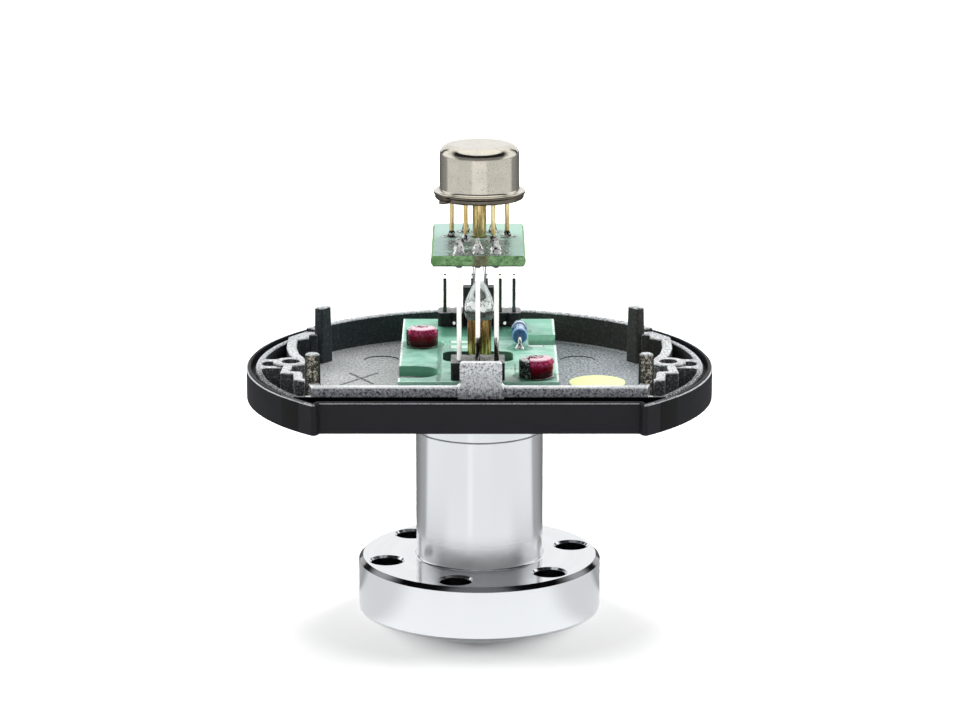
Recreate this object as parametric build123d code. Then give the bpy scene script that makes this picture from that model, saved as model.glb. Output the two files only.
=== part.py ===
"""Pirani vacuum gauge with its housing cover off, in millimetres.

The origin is the centre of the flange's sealing face, +Z runs up the tube and -Y is the flat front.
"""

import os
from math import atan2, cos, degrees, hypot, radians, sin, sqrt, tan

from build123d import *

# Knife-edge flange
flange_r = 17.0
flange_h = 7.5
flange_edge = 0.6
bolt_edge = 3.5
bolt_count = 6
bolt_hole_r = 2.2
bolt_turn = 16.0
bolt_sink = 0.3
gasket_land = 0.6
gasket_w = 1.5
gasket_depth = 1.4
knife_depth = 0.65
knife_root = 0.25
knife_land = 1.2
knife_angle = 20.0
leak_groove_w = 1.6
leak_groove_h = 1.1

# Tube and collar
tube_wall = 0.9
foot_fillet = 0.35
tube_h = 18.3
joint_bevel = 0.12
spigot_h = 3.0
spigot_step = 0.45
spigot_gap = 0.05
collar_h = 5.0
collar_wall = 1.3
collar_web = 2.4
clamp_r = 15.0
clamp_h = 1.5
centre_boss_r = 4.5
centre_gap = 0.1

# Cast base: plan
rim_r = 32.4
rim_wall = 0.6
rim_round = 0.25
front_cut = 10.0
corner_in = 2.11
corner_lean = 66.0
corner_round = 0.5
skirt_groove = 0.7
ring_wall = 0.8
back_wall = 1.4
back_wall_end = 36.5
front_ledge = 3.75
front_wall = 1.45
front_wall_in = 2.29
edge_break = 0.15

# Cast base: heights above its underside
floor_t = 0.9
rim_h = 4.33
ledge_h = 3.1
ring_h = 4.15
back_wall_h = 5.0
front_wall_h = 5.43
link_h = 4.5

# Cast base: posts, bosses, links and marks
rear_post_in = 4.416
rear_post_angle = 32.92
rear_post = (2.5, 1.6)
rear_post_h = 9.0
rear_post_round = 0.3
rear_post_top = (2.2, 1.4)
rear_post_turn = 38.0
shoulder = (1.3, 1.6)
shoulder_at = (1.35, -0.1)
shoulder_h = 5.1
front_post_in = (0.1, 3.25)
front_post_r = 1.12
front_post_h = 9.4
front_post_top_r = 1.0
front_post_round = 0.4
post_pad = ((0, 0), (2.6, -0.8), (3.8, -1.7), (4.9, -1.7), (5.0, 0.1), (2.8, 3.5), (0.5, 4.8), (-0.5, 2.0))
boss_in = 4.8
boss_r = 2.45
cover_hole_r = 1.3
link_wall = 1.4
rear_link = ((0.4, 13.0), (0.3, 8.3), (-0.3, 4.3), (-1.1, 2.2))
front_link = ((0.2, -1.0), (0.5, -6.2), (-1.3, -6.4), (-1.6, -10.2), (-3.0, -10.9))
rib_wall = 1.2
rib_y = 1.95
rib_flare = 0.9
ring_tail = 1.4
tab_x = 0.2
tab_w = 5.7
tab_wall = 1.2
tab_h = 8.8
tab_round = 0.45
tab_flare = 0.4
gusset_w = 6.2
gusset_top_w = 3.6
gusset_out = 1.1
gusset_lean = 0.2
gusset_h = 7.2
ejector_at = (14.1, 15.5)
ejector_r = 2.5
ejector_depth = 0.12
standoff_r = 2.6

# Main board
board_t = 1.5
board_gap = 2.48
board_w = 21.9
board_x = -0.12
board_front_y = -13.4
board_back_gap = 3.06
slot_y = -7.7
slot_w = 6.8
slot_end_x = -5.4
notch_x = 6.95
notch_y = 8.1
notch_w = 6.4
window_w = 9.85
window_l = 6.1
window_at = (-0.2, 1.3)
window_round = 1.5

# Board screws and their varnish
screw_left = (2.97, 8.4)
screw_right = (3.18, -9.9)
screw_r = 1.25
screw_gap = 0.15
head_r = 2.25
head_h = 2.4
head_edge = 0.3
socket_w = 2.0
socket_depth = 1.2
varnish_t = 0.13
varnish_edge_r = 1.85
varnish_hole_r = 1.2
varnish_tops = (360.0, 250.0)
varnish_sides = (104.0, 102.0)
varnish_turns = (0.0, 26.0)

# Pin headers: pitch, columns, pin side, body height, middle in Y
pin_chamfer = 0.18
cell_chamfer = 0.35
pin_tail = 1.1
hole_gap = 0.08
plug_pitch = 2.0
plug_columns = 6
plug_pin = 0.5
plug_body_h = 2.0
plug_x = 0.0
plug_edge = 3.0
plug_pin_h = 7.2
riser_pitch = 2.54
riser_columns = 3
riser_pin = 0.64
riser_body_h = 2.4
riser_x = -0.22
riser_y = -10.0
riser_over = 1.6
riser_trim = 0.3
jumper_w = 4.5
jumper_shift = 0.15
jumper_l = 1.95
jumper_h = 3.8
jumper_edge = 0.25

# Gas path
inlet_r = 1.65
inlet_wall = 0.3
inlet_dip = 0.6
inlet_rise = 10.7
seal_wall = 0.22
seal_h = 1.4
seal_r = 2.0
glass_r = 2.2
glass_wall = 0.22
glass_neck_r = 0.97
glass_neck_bore_r = 0.5
glass_belly_rise = 1.95
glass_shoulder_rise = 2.9
glass_outside = ((0.9, 0.33), (0.41, 0.67))
glass_inside = ((0.78, 0.33), (0.38, 0.62))
sensor_tube_r = 0.93
sensor_tube_wall = 0.2
neck_in_board = 0.6

# Sensor board
sensor_board_rise = 20.76
sensor_board_w = 12.8
sensor_board_x = -0.15
sensor_board_front_y = -12.9
sensor_board_back_y = 9.1
snap_in = 0.3
snap_h = 0.5
neck_gap = 0.12

# Sensor can
sensor_lift = 5.44
base_disc_r = 6.15
base_disc_h = 0.7
base_disc_round = 0.32
cap_flange_r = 6.33
cap_flange_h = 0.45
cap_flange_round = 0.18
lip_break = 0.1
cap_r = 5.5
cap_h = 6.85
cap_round = 0.6
cap_foot = 0.35
tab_angle = 222.0
index_tab_w = 0.85
index_tab_out = 0.5
index_tab_h = 0.45
sensor_pin_circle_r = 3.81
sensor_pin_count = 6
sensor_pin_r = 0.3
sensor_pin_tail = 0.7
pin_seal_r = 0.7

# Resistor
resistor_x = 5.7
resistor_back = 10.15
resistor_l = 6.3
resistor_cap_r = 1.1
resistor_waist_r = 0.85
resistor_cap_l = 1.7
resistor_end_r = 0.82
resistor_end_l = 0.4
resistor_slope = 0.2
resistor_lift = 0.08
lead_r = 0.27
lead_out = 2.0
lead_bend = 0.55

# Solder and the adhesive dot
riser_solder_r = 0.74
riser_solder_h = 1.25
under_solder_r = 0.62
under_solder_h = 0.4
sensor_solder_r = 0.6
sensor_solder_h = 0.7
resistor_solder_r = 0.62
resistor_solder_h = 0.6
solder_tip = 0.08
solder_hollow = (0.36, 0.45)
dot_at = (16.5, 2.1)
dot_r = 3.95
dot_t = 0.1

# Levels and radii that follow from the sizes above
bolt_circle_r = flange_r - bolt_edge
gasket_r = bolt_circle_r - bolt_hole_r - gasket_land
knife_r = gasket_r - gasket_w
bore_r = knife_r - knife_land
seat_r = bore_r + spigot_step
joint_z = flange_h + tube_h
base_z = joint_z + collar_h
tube_r = bore_r + tube_wall
floor_z = base_z + floor_t
board_z = floor_z + board_gap
board_top = board_z + board_t
sensor_board_z = base_z + sensor_board_rise
riser_top = sensor_board_z + board_t
sensor_z = riser_top + sensor_lift
inlet_top_z = base_z + inlet_rise
glass_belly_z = inlet_top_z + glass_belly_rise
glass_shoulder_z = glass_belly_z + glass_shoulder_rise
front_y = rim_r - front_cut
front_half = sqrt(rim_r ** 2 - front_y ** 2) - corner_in
ring_r = rim_r - rim_wall - skirt_groove
front_wall_y = front_y - front_ledge
front_wall_half = sqrt(ring_r ** 2 - front_wall_y ** 2) - front_wall_in
boss_x = ring_r - boss_in
rear_post_at = ((ring_r - rear_post_in) * cos(radians(rear_post_angle)),
                (ring_r - rear_post_in) * sin(radians(rear_post_angle)))
front_post_at = (front_wall_half - front_post_in[0], -front_wall_y + front_post_in[1])
board_left = board_x - board_w / 2
board_right = board_x + board_w / 2
board_back_y = sqrt((ring_r - back_wall) ** 2 - board_left ** 2) - board_back_gap
screw_spots = ((board_left + screw_left[0], screw_left[1]), (board_right - screw_right[0], screw_right[1]))
plug_y = board_back_y - plug_edge
resistor_y = plug_y - resistor_back
web_z = base_z - collar_web
seal_z = inlet_top_z + seal_h
glass_top = sensor_board_z + neck_in_board
cap_z = sensor_z + base_disc_h
far = 4 * rim_r


def save(shape, name):
    """Writes one node to its STEP file."""
    export_step(shape, f"parts/{name}.step")


def lathe(points, turn=360.0):
    """Turns an outline of (radius, height) points about the Z axis."""
    outline = Polyline(*[(r, 0, z) for r, z in points], close=True)
    return revolve(make_face(outline), Axis.Z, turn)


def rod(radius, bottom, top, at=(0, 0)):
    """Upright round bar between two heights."""
    return Pos(at[0], at[1], bottom) * extrude(Circle(radius), top - bottom)


def block(width, length, bottom, top, at=(0, 0)):
    """Upright rectangular bar between two heights."""
    return Pos(at[0], at[1], bottom) * extrude(Rectangle(width, length), top - bottom)


def raised(sketch, height, edge=edge_break):
    """Casts a plan shape upwards from the base's underside and breaks its top edges."""
    body = Pos(0, 0, base_z) * extrude(sketch, height)
    return chamfer(body.faces().sort_by(Axis.Z)[-1].edges(), edge)


def both_sides(shape):
    """A shape with its mirror image across the middle plane."""
    return shape + mirror(shape, Plane.YZ)


def ribbon(points, width):
    """Plan of a wall of even width with rounded turns along a row of points."""
    plan = Sketch()
    for (x0, y0), (x1, y1) in zip(points, points[1:]):
        run = hypot(x1 - x0, y1 - y0)
        angle = degrees(atan2(y1 - y0, x1 - x0))
        plan += Pos((x0 + x1) / 2, (y0 + y1) / 2) * Rot(0, 0, angle) * SlotCenterToCenter(run, width)
    return plan


def behind(line_y):
    """Plan of everything behind a line across the front."""
    return Pos(0, line_y + far / 2) * Rectangle(far, far)


# Flange and tube

def flange_tube():
    lip_z = knife_depth + (knife_r - bore_r) * tan(radians(knife_angle))
    body = lathe([
        (bore_r, lip_z),
        (knife_r, knife_depth),
        (knife_r + knife_root, gasket_depth),
        (gasket_r, gasket_depth),
        (gasket_r, 0),
        (flange_r, 0),
        (flange_r, flange_h - flange_edge),
        (flange_r - flange_edge, flange_h),
        (tube_r, flange_h),
        (tube_r, joint_z - joint_bevel),
        (tube_r - joint_bevel, joint_z),
        (seat_r, joint_z),
        (seat_r, joint_z - spigot_h),
        (bore_r, joint_z - spigot_h),
    ])
    foot = body.edges().filter_by(GeomType.CIRCLE).filter_by_position(Axis.Z, flange_h, flange_h)
    body = fillet(foot.sort_by(SortBy.RADIUS)[0], foot_fillet)
    hole = rod(bolt_hole_r, 0, flange_h) + Pos(0, 0, flange_h - bolt_sink / 2) * Cone(
        bolt_hole_r, bolt_hole_r + bolt_sink, bolt_sink)
    for spot in PolarLocations(bolt_circle_r, bolt_count, bolt_turn):
        body -= spot * hole
    groove_turn = bolt_turn + 180 / bolt_count * 3
    groove = Pos((gasket_r + flange_r) / 2, 0, leak_groove_h / 2) * Box(
        flange_r - gasket_r + knife_root, leak_groove_w, leak_groove_h)
    return body - Rot(0, 0, groove_turn) * groove


def neck_collar():
    spigot_r = seat_r - spigot_gap
    chamber_r = bore_r - collar_wall
    body = lathe([
        (clamp_r, base_z),
        (clamp_r, base_z - clamp_h),
        (tube_r, base_z - clamp_h),
        (tube_r, joint_z + joint_bevel),
        (tube_r - joint_bevel, joint_z),
        (spigot_r, joint_z),
        (spigot_r, joint_z - spigot_h),
        (chamber_r, joint_z - spigot_h),
        (chamber_r, web_z),
        (inlet_r, web_z),
        (inlet_r, floor_z),
        (centre_boss_r, floor_z),
        (centre_boss_r, base_z),
    ])
    for spot in screw_spots:
        body -= rod(screw_r, base_z - clamp_h, base_z, spot)
    return body


# Cast base

def rim_plan(inset):
    """Outer plan of the base, drawn in by an even distance: a circle with a shallow flat front."""
    lean = radians(corner_lean)
    half = front_half + inset * tan(lean / 2)
    reach = rim_r / tan(lean)
    edge = -front_y + inset
    front = make_face(Polyline(
        (-half, edge), (half, edge), (half + reach, edge - rim_r), (-half - reach, edge - rim_r),
        close=True))
    return Circle(rim_r - inset) - front


def outer_plan():
    """The base's outer plan with its two front corners rounded."""
    plan = rim_plan(0)
    return fillet(plan.vertices().group_by(Axis.Y)[0], corner_round)


def wall_plan(radius):
    """Plan of a circle cut off by the front wall."""
    return Circle(radius) & behind(-front_wall_y)


def rim():
    plan = outer_plan() - rim_plan(rim_wall)
    body = Pos(0, 0, base_z) * extrude(plan, rim_h)
    top = body.faces().sort_by(Axis.Z)[-1]
    return chamfer(top.outer_wire().edges(), rim_round)


def back_arc():
    """Raised wall round the back, from one rear post to the other."""
    angle = radians(back_wall_end)
    side = ring_r / sin(angle) * 2
    wedge = make_face(Polyline(
        (0, 0), (side * cos(angle), side * sin(angle)), (-side * cos(angle), side * sin(angle)),
        close=True))
    plan = (Circle(ring_r) - Circle(ring_r - back_wall)) & wedge
    return raised(plan, back_wall_h)


def link_walls():
    """Thin stepped walls from each rear post past the screw boss to the front post."""
    pad = make_face(Polyline(
        *[(rear_post_at[0] + x, rear_post_at[1] + y) for x, y in post_pad], close=True))
    rear = ribbon([(boss_x + x, y) for x, y in rear_link], link_wall)
    front = ribbon([(boss_x + x, y) for x, y in front_link] + [front_post_at], link_wall - edge_break)
    end = ribbon([front_post_at, (front_wall_half - front_wall / 2, -front_wall_y + front_wall / 2)],
                 front_wall)
    plan = rear + pad + front + Pos(boss_x, 0) * Circle(boss_r)
    return plan & Circle(ring_r), end


def ring_ribs():
    """Two short ribs from the screw boss to the ring, and the ring's tail at the front wall."""
    reach = ring_r - boss_x
    plan = Sketch()
    for y in (-rib_y, rib_y):
        plan += Pos(boss_x + reach / 2, y) * Rectangle(reach, rib_wall)
        flare = Rot(0, 0, 45) * Rectangle(2 * rib_flare, 2 * rib_flare)
        plan += Pos(ring_r - ring_wall, y) * flare
    plan += ribbon([(front_wall_half - front_wall, -front_wall_y + front_wall / 2),
                    (front_wall_half + ring_tail, -front_wall_y)], ring_wall)
    return plan & wall_plan(ring_r - ring_wall / 2)


def rear_post_body():
    foot = RectangleRounded(rear_post[1], rear_post[0], rear_post_round)
    top = RectangleRounded(rear_post_top[1], rear_post_top[0], rear_post_round)
    post = loft([foot, Pos(0, 0, rear_post_h) * top])
    post = chamfer(post.faces().sort_by(Axis.Z)[-1].edges(), edge_break)
    side = RectangleRounded(shoulder[0], shoulder[1], rear_post_round)
    side = raised(Pos(rear_post_at[0] + shoulder_at[0], rear_post_at[1] + shoulder_at[1]) * side, shoulder_h)
    return side + Pos(rear_post_at[0], rear_post_at[1], base_z) * Rot(0, 0, rear_post_turn) * post


def front_post_body():
    post = Pos(0, 0, front_post_h / 2) * Cone(front_post_r, front_post_top_r, front_post_h)
    post = fillet(post.faces().sort_by(Axis.Z)[-1].edges(), front_post_round)
    return Pos(front_post_at[0], front_post_at[1], base_z) * post


def front_tab():
    """Raised tab in the middle of the front wall, with flared feet and a tapering gusset before it."""
    foot_h = front_wall_h + tab_flare
    half = tab_w / 2
    face = make_face(Polyline(
        (-half - tab_flare, 0), (half + tab_flare, 0), (half + tab_flare, front_wall_h),
        (half, foot_h), (half, tab_h), (-half, tab_h), (-half, foot_h),
        (-half - tab_flare, front_wall_h), close=True))
    face = fillet(face.vertices().group_by(Axis.Y)[-1], tab_round)
    front_plane = Plane((tab_x, -front_wall_y, base_z), x_dir=(1, 0, 0), z_dir=(0, -1, 0))
    tab = extrude(front_plane * face, -tab_wall)
    outer_y = -front_wall_y - gusset_out
    side = make_face(Polyline(
        (0, -front_wall_y, base_z + ledge_h), (0, outer_y, base_z + ledge_h),
        (0, outer_y + gusset_lean, base_z + front_wall_h), (0, -front_wall_y, base_z + gusset_h),
        close=True))
    wedge = extrude(side, gusset_w, both=True)
    front = make_face(Polyline(
        (-gusset_w / 2, 0, base_z + ledge_h), (gusset_w / 2, 0, base_z + ledge_h),
        (gusset_w / 2, 0, base_z + front_wall_h), (gusset_top_w / 2, 0, base_z + gusset_h),
        (-gusset_top_w / 2, 0, base_z + gusset_h), (-gusset_w / 2, 0, base_z + front_wall_h), close=True))
    return tab + Pos(tab_x, 0, 0) * (wedge & extrude(front, 2 * front_wall_y, both=True))


def base_casting():
    floor = Pos(0, 0, base_z) * extrude(outer_plan(), floor_t)
    ledge = Pos(0, 0, base_z) * extrude(outer_plan() - wall_plan(ring_r), ledge_h)
    ring = raised(wall_plan(ring_r) - Circle(ring_r - ring_wall), ring_h)
    links, ends = link_walls()
    front = Pos(0, -front_wall_y + front_wall / 2) * Rectangle(2 * front_wall_half, front_wall)
    side = mirror(links, Plane.YZ)
    body = floor + ledge + rim() + ring + back_arc()
    body += raised(front + ends + mirror(ends, Plane.YZ), front_wall_h)
    body += raised(links, link_h) + raised(side, link_h)
    body += both_sides(Pos(0, 0, base_z) * extrude(ring_ribs(), ring_h))
    body += both_sides(rear_post_body()) + both_sides(front_post_body()) + front_tab()
    for spot in screw_spots:
        body += rod(standoff_r, base_z, board_z, spot)
        body -= rod(screw_r + screw_gap, base_z, board_z, spot)
    for x in (-boss_x, boss_x):
        body -= rod(cover_hole_r, base_z, base_z + link_h, (x, 0))
    for x in (-ejector_at[0], ejector_at[0]):
        body -= rod(ejector_r, floor_z - ejector_depth, floor_z, (x, ejector_at[1]))
    return body - rod(centre_boss_r + centre_gap, base_z, floor_z)


# Boards

def grid(pitch, columns, middle_x, middle_y):
    """Places of a two-row header's pins."""
    return [(middle_x + pitch * (i - (columns - 1) / 2), middle_y + row * pitch / 2)
            for i in range(columns) for row in (-1, 1)]


def plug_grid():
    return grid(plug_pitch, plug_columns, plug_x, plug_y)


def riser_grid():
    return grid(riser_pitch, riser_columns, riser_x, riser_y)


def sensor_pin_spots():
    steps = [radians(360 / sensor_pin_count * i) for i in range(sensor_pin_count)]
    return [(sensor_pin_circle_r * cos(a), sensor_pin_circle_r * sin(a)) for a in steps]


def pin_hole(side):
    """Radius of a drilled hole that takes a square pin."""
    return side * 2 ** 0.5 / 2 + hole_gap


def main_board():
    length = board_back_y - board_front_y
    plan = Pos(board_x, (board_back_y + board_front_y) / 2) * Rectangle(board_w, length)
    plan -= Pos(*window_at) * RectangleRounded(window_w, window_l, window_round)
    plan -= ribbon([(slot_end_x - slot_w / 2, slot_y), (-board_w, slot_y)], slot_w)
    plan -= Pos(notch_x + board_w / 2, notch_y + notch_w / 2) * Rectangle(board_w, notch_w)
    for x, y in plug_grid():
        plan -= Pos(x, y) * Circle(pin_hole(plug_pin))
    for x, y in riser_grid():
        plan -= Pos(x, y) * Circle(pin_hole(riser_pin))
    for x, y in screw_spots:
        plan -= Pos(x, y) * Circle(screw_r + screw_gap)
    for y in lead_spots():
        plan -= Pos(resistor_x, y) * Circle(lead_r)
    return Pos(0, 0, board_z) * extrude(plan, board_t)


def sensor_board():
    """Small board whose long edges were snapped from a panel along scored grooves."""
    half = sensor_board_w / 2
    outline = Polyline(
        (-half + snap_in, 0), (half - snap_in, 0), (half, snap_h), (half, board_t - snap_h),
        (half - snap_in, board_t), (-half + snap_in, board_t), (-half, board_t - snap_h),
        (-half, snap_h), close=True)
    section = Plane((sensor_board_x, sensor_board_back_y, sensor_board_z), x_dir=(1, 0, 0), z_dir=(0, -1, 0))
    body = extrude(section * make_face(outline), sensor_board_back_y - sensor_board_front_y)
    body -= rod(glass_neck_r + neck_gap, sensor_board_z, riser_top)
    for spot in riser_grid():
        body -= rod(pin_hole(riser_pin), sensor_board_z, riser_top, spot)
    for spot in sensor_pin_spots():
        body -= rod(sensor_pin_r, sensor_board_z, riser_top, spot)
    return body


def board_screws():
    """Socket-head screws that hold the board down."""
    head = lathe([(0, 0), (head_r, 0), (head_r, head_h - head_edge), (head_r - head_edge, head_h),
                  (0, head_h)])
    head -= Pos(0, 0, head_h - socket_depth) * extrude(
        RegularPolygon(socket_w / 2, 6, major_radius=False), socket_depth)
    shank = rod(screw_r, base_z - clamp_h - board_top, 0)
    return Compound(children=[Pos(x, y, board_top) * (head + shank) for x, y in screw_spots])


def screw_varnish():
    """Brushed-on cap over each head, with a run of varnish down its front."""
    caps = []
    rim_top = (varnish_edge_r, head_h)
    for (x, y), top, side, turn in zip(screw_spots, varnish_tops, varnish_sides, varnish_turns):
        disc = lathe([(varnish_hole_r, head_h), rim_top, (varnish_edge_r, head_h + varnish_t),
                      (varnish_hole_r, head_h + varnish_t)], top)
        run = lathe([
            rim_top, (head_r - head_edge, head_h), (head_r, head_h - head_edge), (head_r, 0),
            (head_r + varnish_t, 0), (head_r + varnish_t, head_h - head_edge + varnish_t / 2),
            (head_r - head_edge + varnish_t / 2, head_h + varnish_t), (varnish_edge_r, head_h + varnish_t),
        ], side)
        cap = Rot(0, 0, turn - 90 - top / 2) * disc + Rot(0, 0, turn - 90 - side / 2) * run
        caps.append(Pos(x, y, board_top) * cap)
    return Compound(children=caps)


# Pin headers

def header_body(pitch, columns, side, height, spots, trim=0.0):
    """Moulded strip of octagonal cells with a square hole for each pin."""
    middle_x = sum(x for x, _ in spots) / len(spots)
    middle_y = sum(y for _, y in spots) / len(spots)
    plan = Sketch()
    for i in range(columns):
        cell = Rectangle(pitch, 2 * pitch)
        cell = chamfer(cell.vertices(), cell_chamfer)
        plan += Pos(pitch * (i - (columns - 1) / 2)) * cell
    plan &= Rectangle(columns * pitch - trim, 2 * pitch)
    plan = Pos(middle_x, middle_y) * plan
    for x, y in spots:
        plan -= Pos(x, y) * Rectangle(side, side)
    return Pos(0, 0, board_top) * extrude(plan, height)


def square_pins(side, bottom, top, spots):
    pin = extrude(Rectangle(side, side), top - bottom)
    ends = pin.faces().sort_by(Axis.Z)
    pin = chamfer(ends[0].edges() + ends[-1].edges(), pin_chamfer)
    return Compound(children=[Pos(x, y, bottom) * pin for x, y in spots])


def jumper_cap():
    row = [spot for spot in plug_grid() if spot[1] < plug_y]
    bottom = board_top + plug_body_h
    body = block(jumper_w, jumper_l, bottom, bottom + jumper_h, (plug_x - jumper_shift, row[0][1]))
    body = chamfer(body.edges().filter_by(Axis.Z), jumper_edge)
    for x, y in row:
        body -= block(plug_pin, plug_pin, bottom, bottom + jumper_h, (x, y))
    return body


# Gas path

def inlet_tube():
    return rod(inlet_r, web_z - inlet_dip, inlet_top_z) - rod(
        inlet_r - inlet_wall, web_z - inlet_dip, inlet_top_z)


def isolator_seal():
    return lathe([
        (inlet_r - inlet_wall, inlet_top_z), (inlet_r, inlet_top_z),
        (seal_r, seal_z - seal_h / 3), (seal_r, seal_z),
        (seal_r - seal_wall, seal_z), (seal_r - seal_wall, seal_z - seal_h / 3),
        (inlet_r - inlet_wall, inlet_top_z + seal_wall),
    ])


def glass_isolator():
    """Blown bulb: outside and inside curves joined at the foot and at the neck's end."""
    step = glass_r - glass_neck_r
    rise = glass_shoulder_z - glass_belly_z
    cup_z = seal_z - seal_h / 3
    outside = Spline(
        (inlet_r + glass_wall, 0, inlet_top_z),
        (glass_r, 0, glass_belly_z),
        *[(glass_neck_r + step * out, 0, glass_belly_z + rise * up) for out, up in glass_outside],
        (glass_neck_r, 0, glass_shoulder_z),
        tangents=((0.25, 0, 1), (0, 0, 1)))
    inside = Spline(
        (seal_r - seal_wall, 0, seal_z),
        *[(glass_neck_r + step * out - glass_wall, 0, glass_belly_z + rise * up)
          for out, up in glass_inside],
        (glass_neck_bore_r, 0, glass_shoulder_z - glass_wall),
        tangents=((0, 0, 1), (0, 0, 1)))
    walls = [
        outside,
        Polyline((glass_neck_r, 0, glass_shoulder_z), (glass_neck_r, 0, glass_top),
                 (glass_neck_bore_r, 0, glass_top),
                 (glass_neck_bore_r, 0, glass_shoulder_z - glass_wall)),
        inside,
        Polyline((seal_r - seal_wall, 0, seal_z), (seal_r, 0, seal_z), (seal_r, 0, cup_z),
                 (inlet_r, 0, inlet_top_z), (inlet_r + glass_wall, 0, inlet_top_z)),
    ]
    edges = [edge for wall in walls for edge in wall.edges()]
    return revolve(make_face(edges), Axis.Z)


def sensor_tube():
    return rod(sensor_tube_r, glass_top, sensor_z + base_disc_h) - rod(
        sensor_tube_r - sensor_tube_wall, glass_top, sensor_z + base_disc_h)


# Sensor can

def sensor_base():
    body = rod(base_disc_r, sensor_z, cap_z)
    edges = body.edges().filter_by(GeomType.CIRCLE).sort_by(Axis.Z)
    body = fillet(edges[-1], lip_break)
    edges = body.edges().filter_by(GeomType.CIRCLE).sort_by(Axis.Z)
    body = fillet(edges[0], base_disc_round)
    tab = Pos(base_disc_r + index_tab_out / 2, 0, sensor_z + index_tab_h / 2) * Box(
        index_tab_out + index_tab_w, index_tab_w, index_tab_h)
    body += Rot(0, 0, tab_angle) * tab
    for spot in sensor_pin_spots():
        body -= rod(pin_seal_r, sensor_z, cap_z, spot)
    return body - rod(sensor_tube_r, sensor_z, cap_z)


def sensor_cap():
    flange_z = cap_z + cap_flange_h
    top_z = cap_z + cap_h
    body = lathe([
        (0, cap_z), (cap_flange_r, cap_z), (cap_flange_r, flange_z),
        (cap_r, flange_z), (cap_r, top_z), (0, top_z),
    ])
    body = fillet(body.faces().sort_by(Axis.Z)[-1].edges(), cap_round)
    body = fillet(body.edges().filter_by(GeomType.CIRCLE).sort_by(Axis.Z)[0], lip_break)
    rings = body.edges().filter_by(GeomType.CIRCLE).filter_by_position(Axis.Z, flange_z, flange_z)
    body = fillet(rings.sort_by(SortBy.RADIUS)[-1], cap_flange_round)
    rings = body.edges().filter_by(GeomType.CIRCLE).filter_by_position(Axis.Z, flange_z, flange_z)
    return fillet(rings.sort_by(SortBy.RADIUS)[0], cap_foot)


def sensor_pins():
    bottom = sensor_board_z - sensor_pin_tail
    return Compound(children=[rod(sensor_pin_r, bottom, cap_z, spot) for spot in sensor_pin_spots()])


def pin_seals():
    return Compound(children=[
        rod(pin_seal_r, sensor_z, cap_z, spot) - rod(sensor_pin_r, sensor_z, cap_z, spot)
        for spot in sensor_pin_spots()])


# Resistor

def lead_spots():
    """Where the two leads pass through the board."""
    reach = resistor_l / 2 + lead_out
    return (resistor_y - reach, resistor_y + reach)


def resistor_axis():
    return board_top + resistor_cap_r + resistor_lift


def resistor_body():
    half = resistor_l / 2
    waist = half - resistor_cap_l
    body = lathe([
        (0, -half), (resistor_end_r, -half), (resistor_cap_r, -half + resistor_end_l),
        (resistor_cap_r, -waist - resistor_slope), (resistor_waist_r, -waist + resistor_slope),
        (resistor_waist_r, waist - resistor_slope), (resistor_cap_r, waist + resistor_slope),
        (resistor_cap_r, half - resistor_end_l), (resistor_end_r, half), (0, half),
    ])
    return Pos(resistor_x, resistor_y, resistor_axis()) * Rot(90, 0, 0) * body


def resistor_leads():
    leads = []
    level = resistor_axis()
    for side, foot in zip((-1, 1), lead_spots()):
        start = resistor_y + side * resistor_l / 2
        path = FilletPolyline(
            (resistor_x, start, level), (resistor_x, foot, level),
            (resistor_x, foot, board_z - under_solder_h), radius=lead_bend)
        section = Plane(origin=(resistor_x, start, level), z_dir=(0, side, 0)) * Circle(lead_r)
        leads.append(sweep(section, path))
    return Compound(children=leads)


# Solder

def cone(radius, tip, height):
    """Solder fillet with a hollow flank."""
    middle = (radius + tip) * solder_hollow[0]
    return lathe([(0, 0), (radius, 0), (middle, height * solder_hollow[1]), (tip, height), (0, height)])


def solder_on(spots, radius, height, level, half, tip, pin):
    """Cones round a set of pins; a negative height hangs them under a board."""
    joints = []
    for x, y in spots:
        joint = cone(radius, tip, abs(height))
        if height < 0:
            joint = mirror(joint, Plane.XY)
        joints.append(Pos(x, y, level) * (joint - pin(half, min(0, height), max(0, height))))
    return joints


def square_core(half, low, high):
    return block(2 * half, 2 * half, low, high)


def riser_solder():
    half = riser_pin / 2
    tip = half * 2 ** 0.5 + solder_tip
    above = solder_on(riser_grid(), riser_solder_r, riser_solder_h, riser_top, half, tip, square_core)
    below = solder_on(riser_grid(), under_solder_r, -under_solder_h, sensor_board_z, half, tip, square_core)
    return Compound(children=above + below)


def sensor_solder():
    return Compound(children=solder_on(
        sensor_pin_spots(), sensor_solder_r, sensor_solder_h, riser_top, sensor_pin_r,
        sensor_pin_r + solder_tip, rod))


def resistor_solder():
    spots = [(resistor_x, y) for y in lead_spots()]
    return Compound(children=solder_on(
        spots, resistor_solder_r, resistor_solder_h, board_top, lead_r, lead_r + solder_tip, rod))


def floor_dot():
    return rod(dot_r, floor_z, floor_z + dot_t, dot_at)


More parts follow.
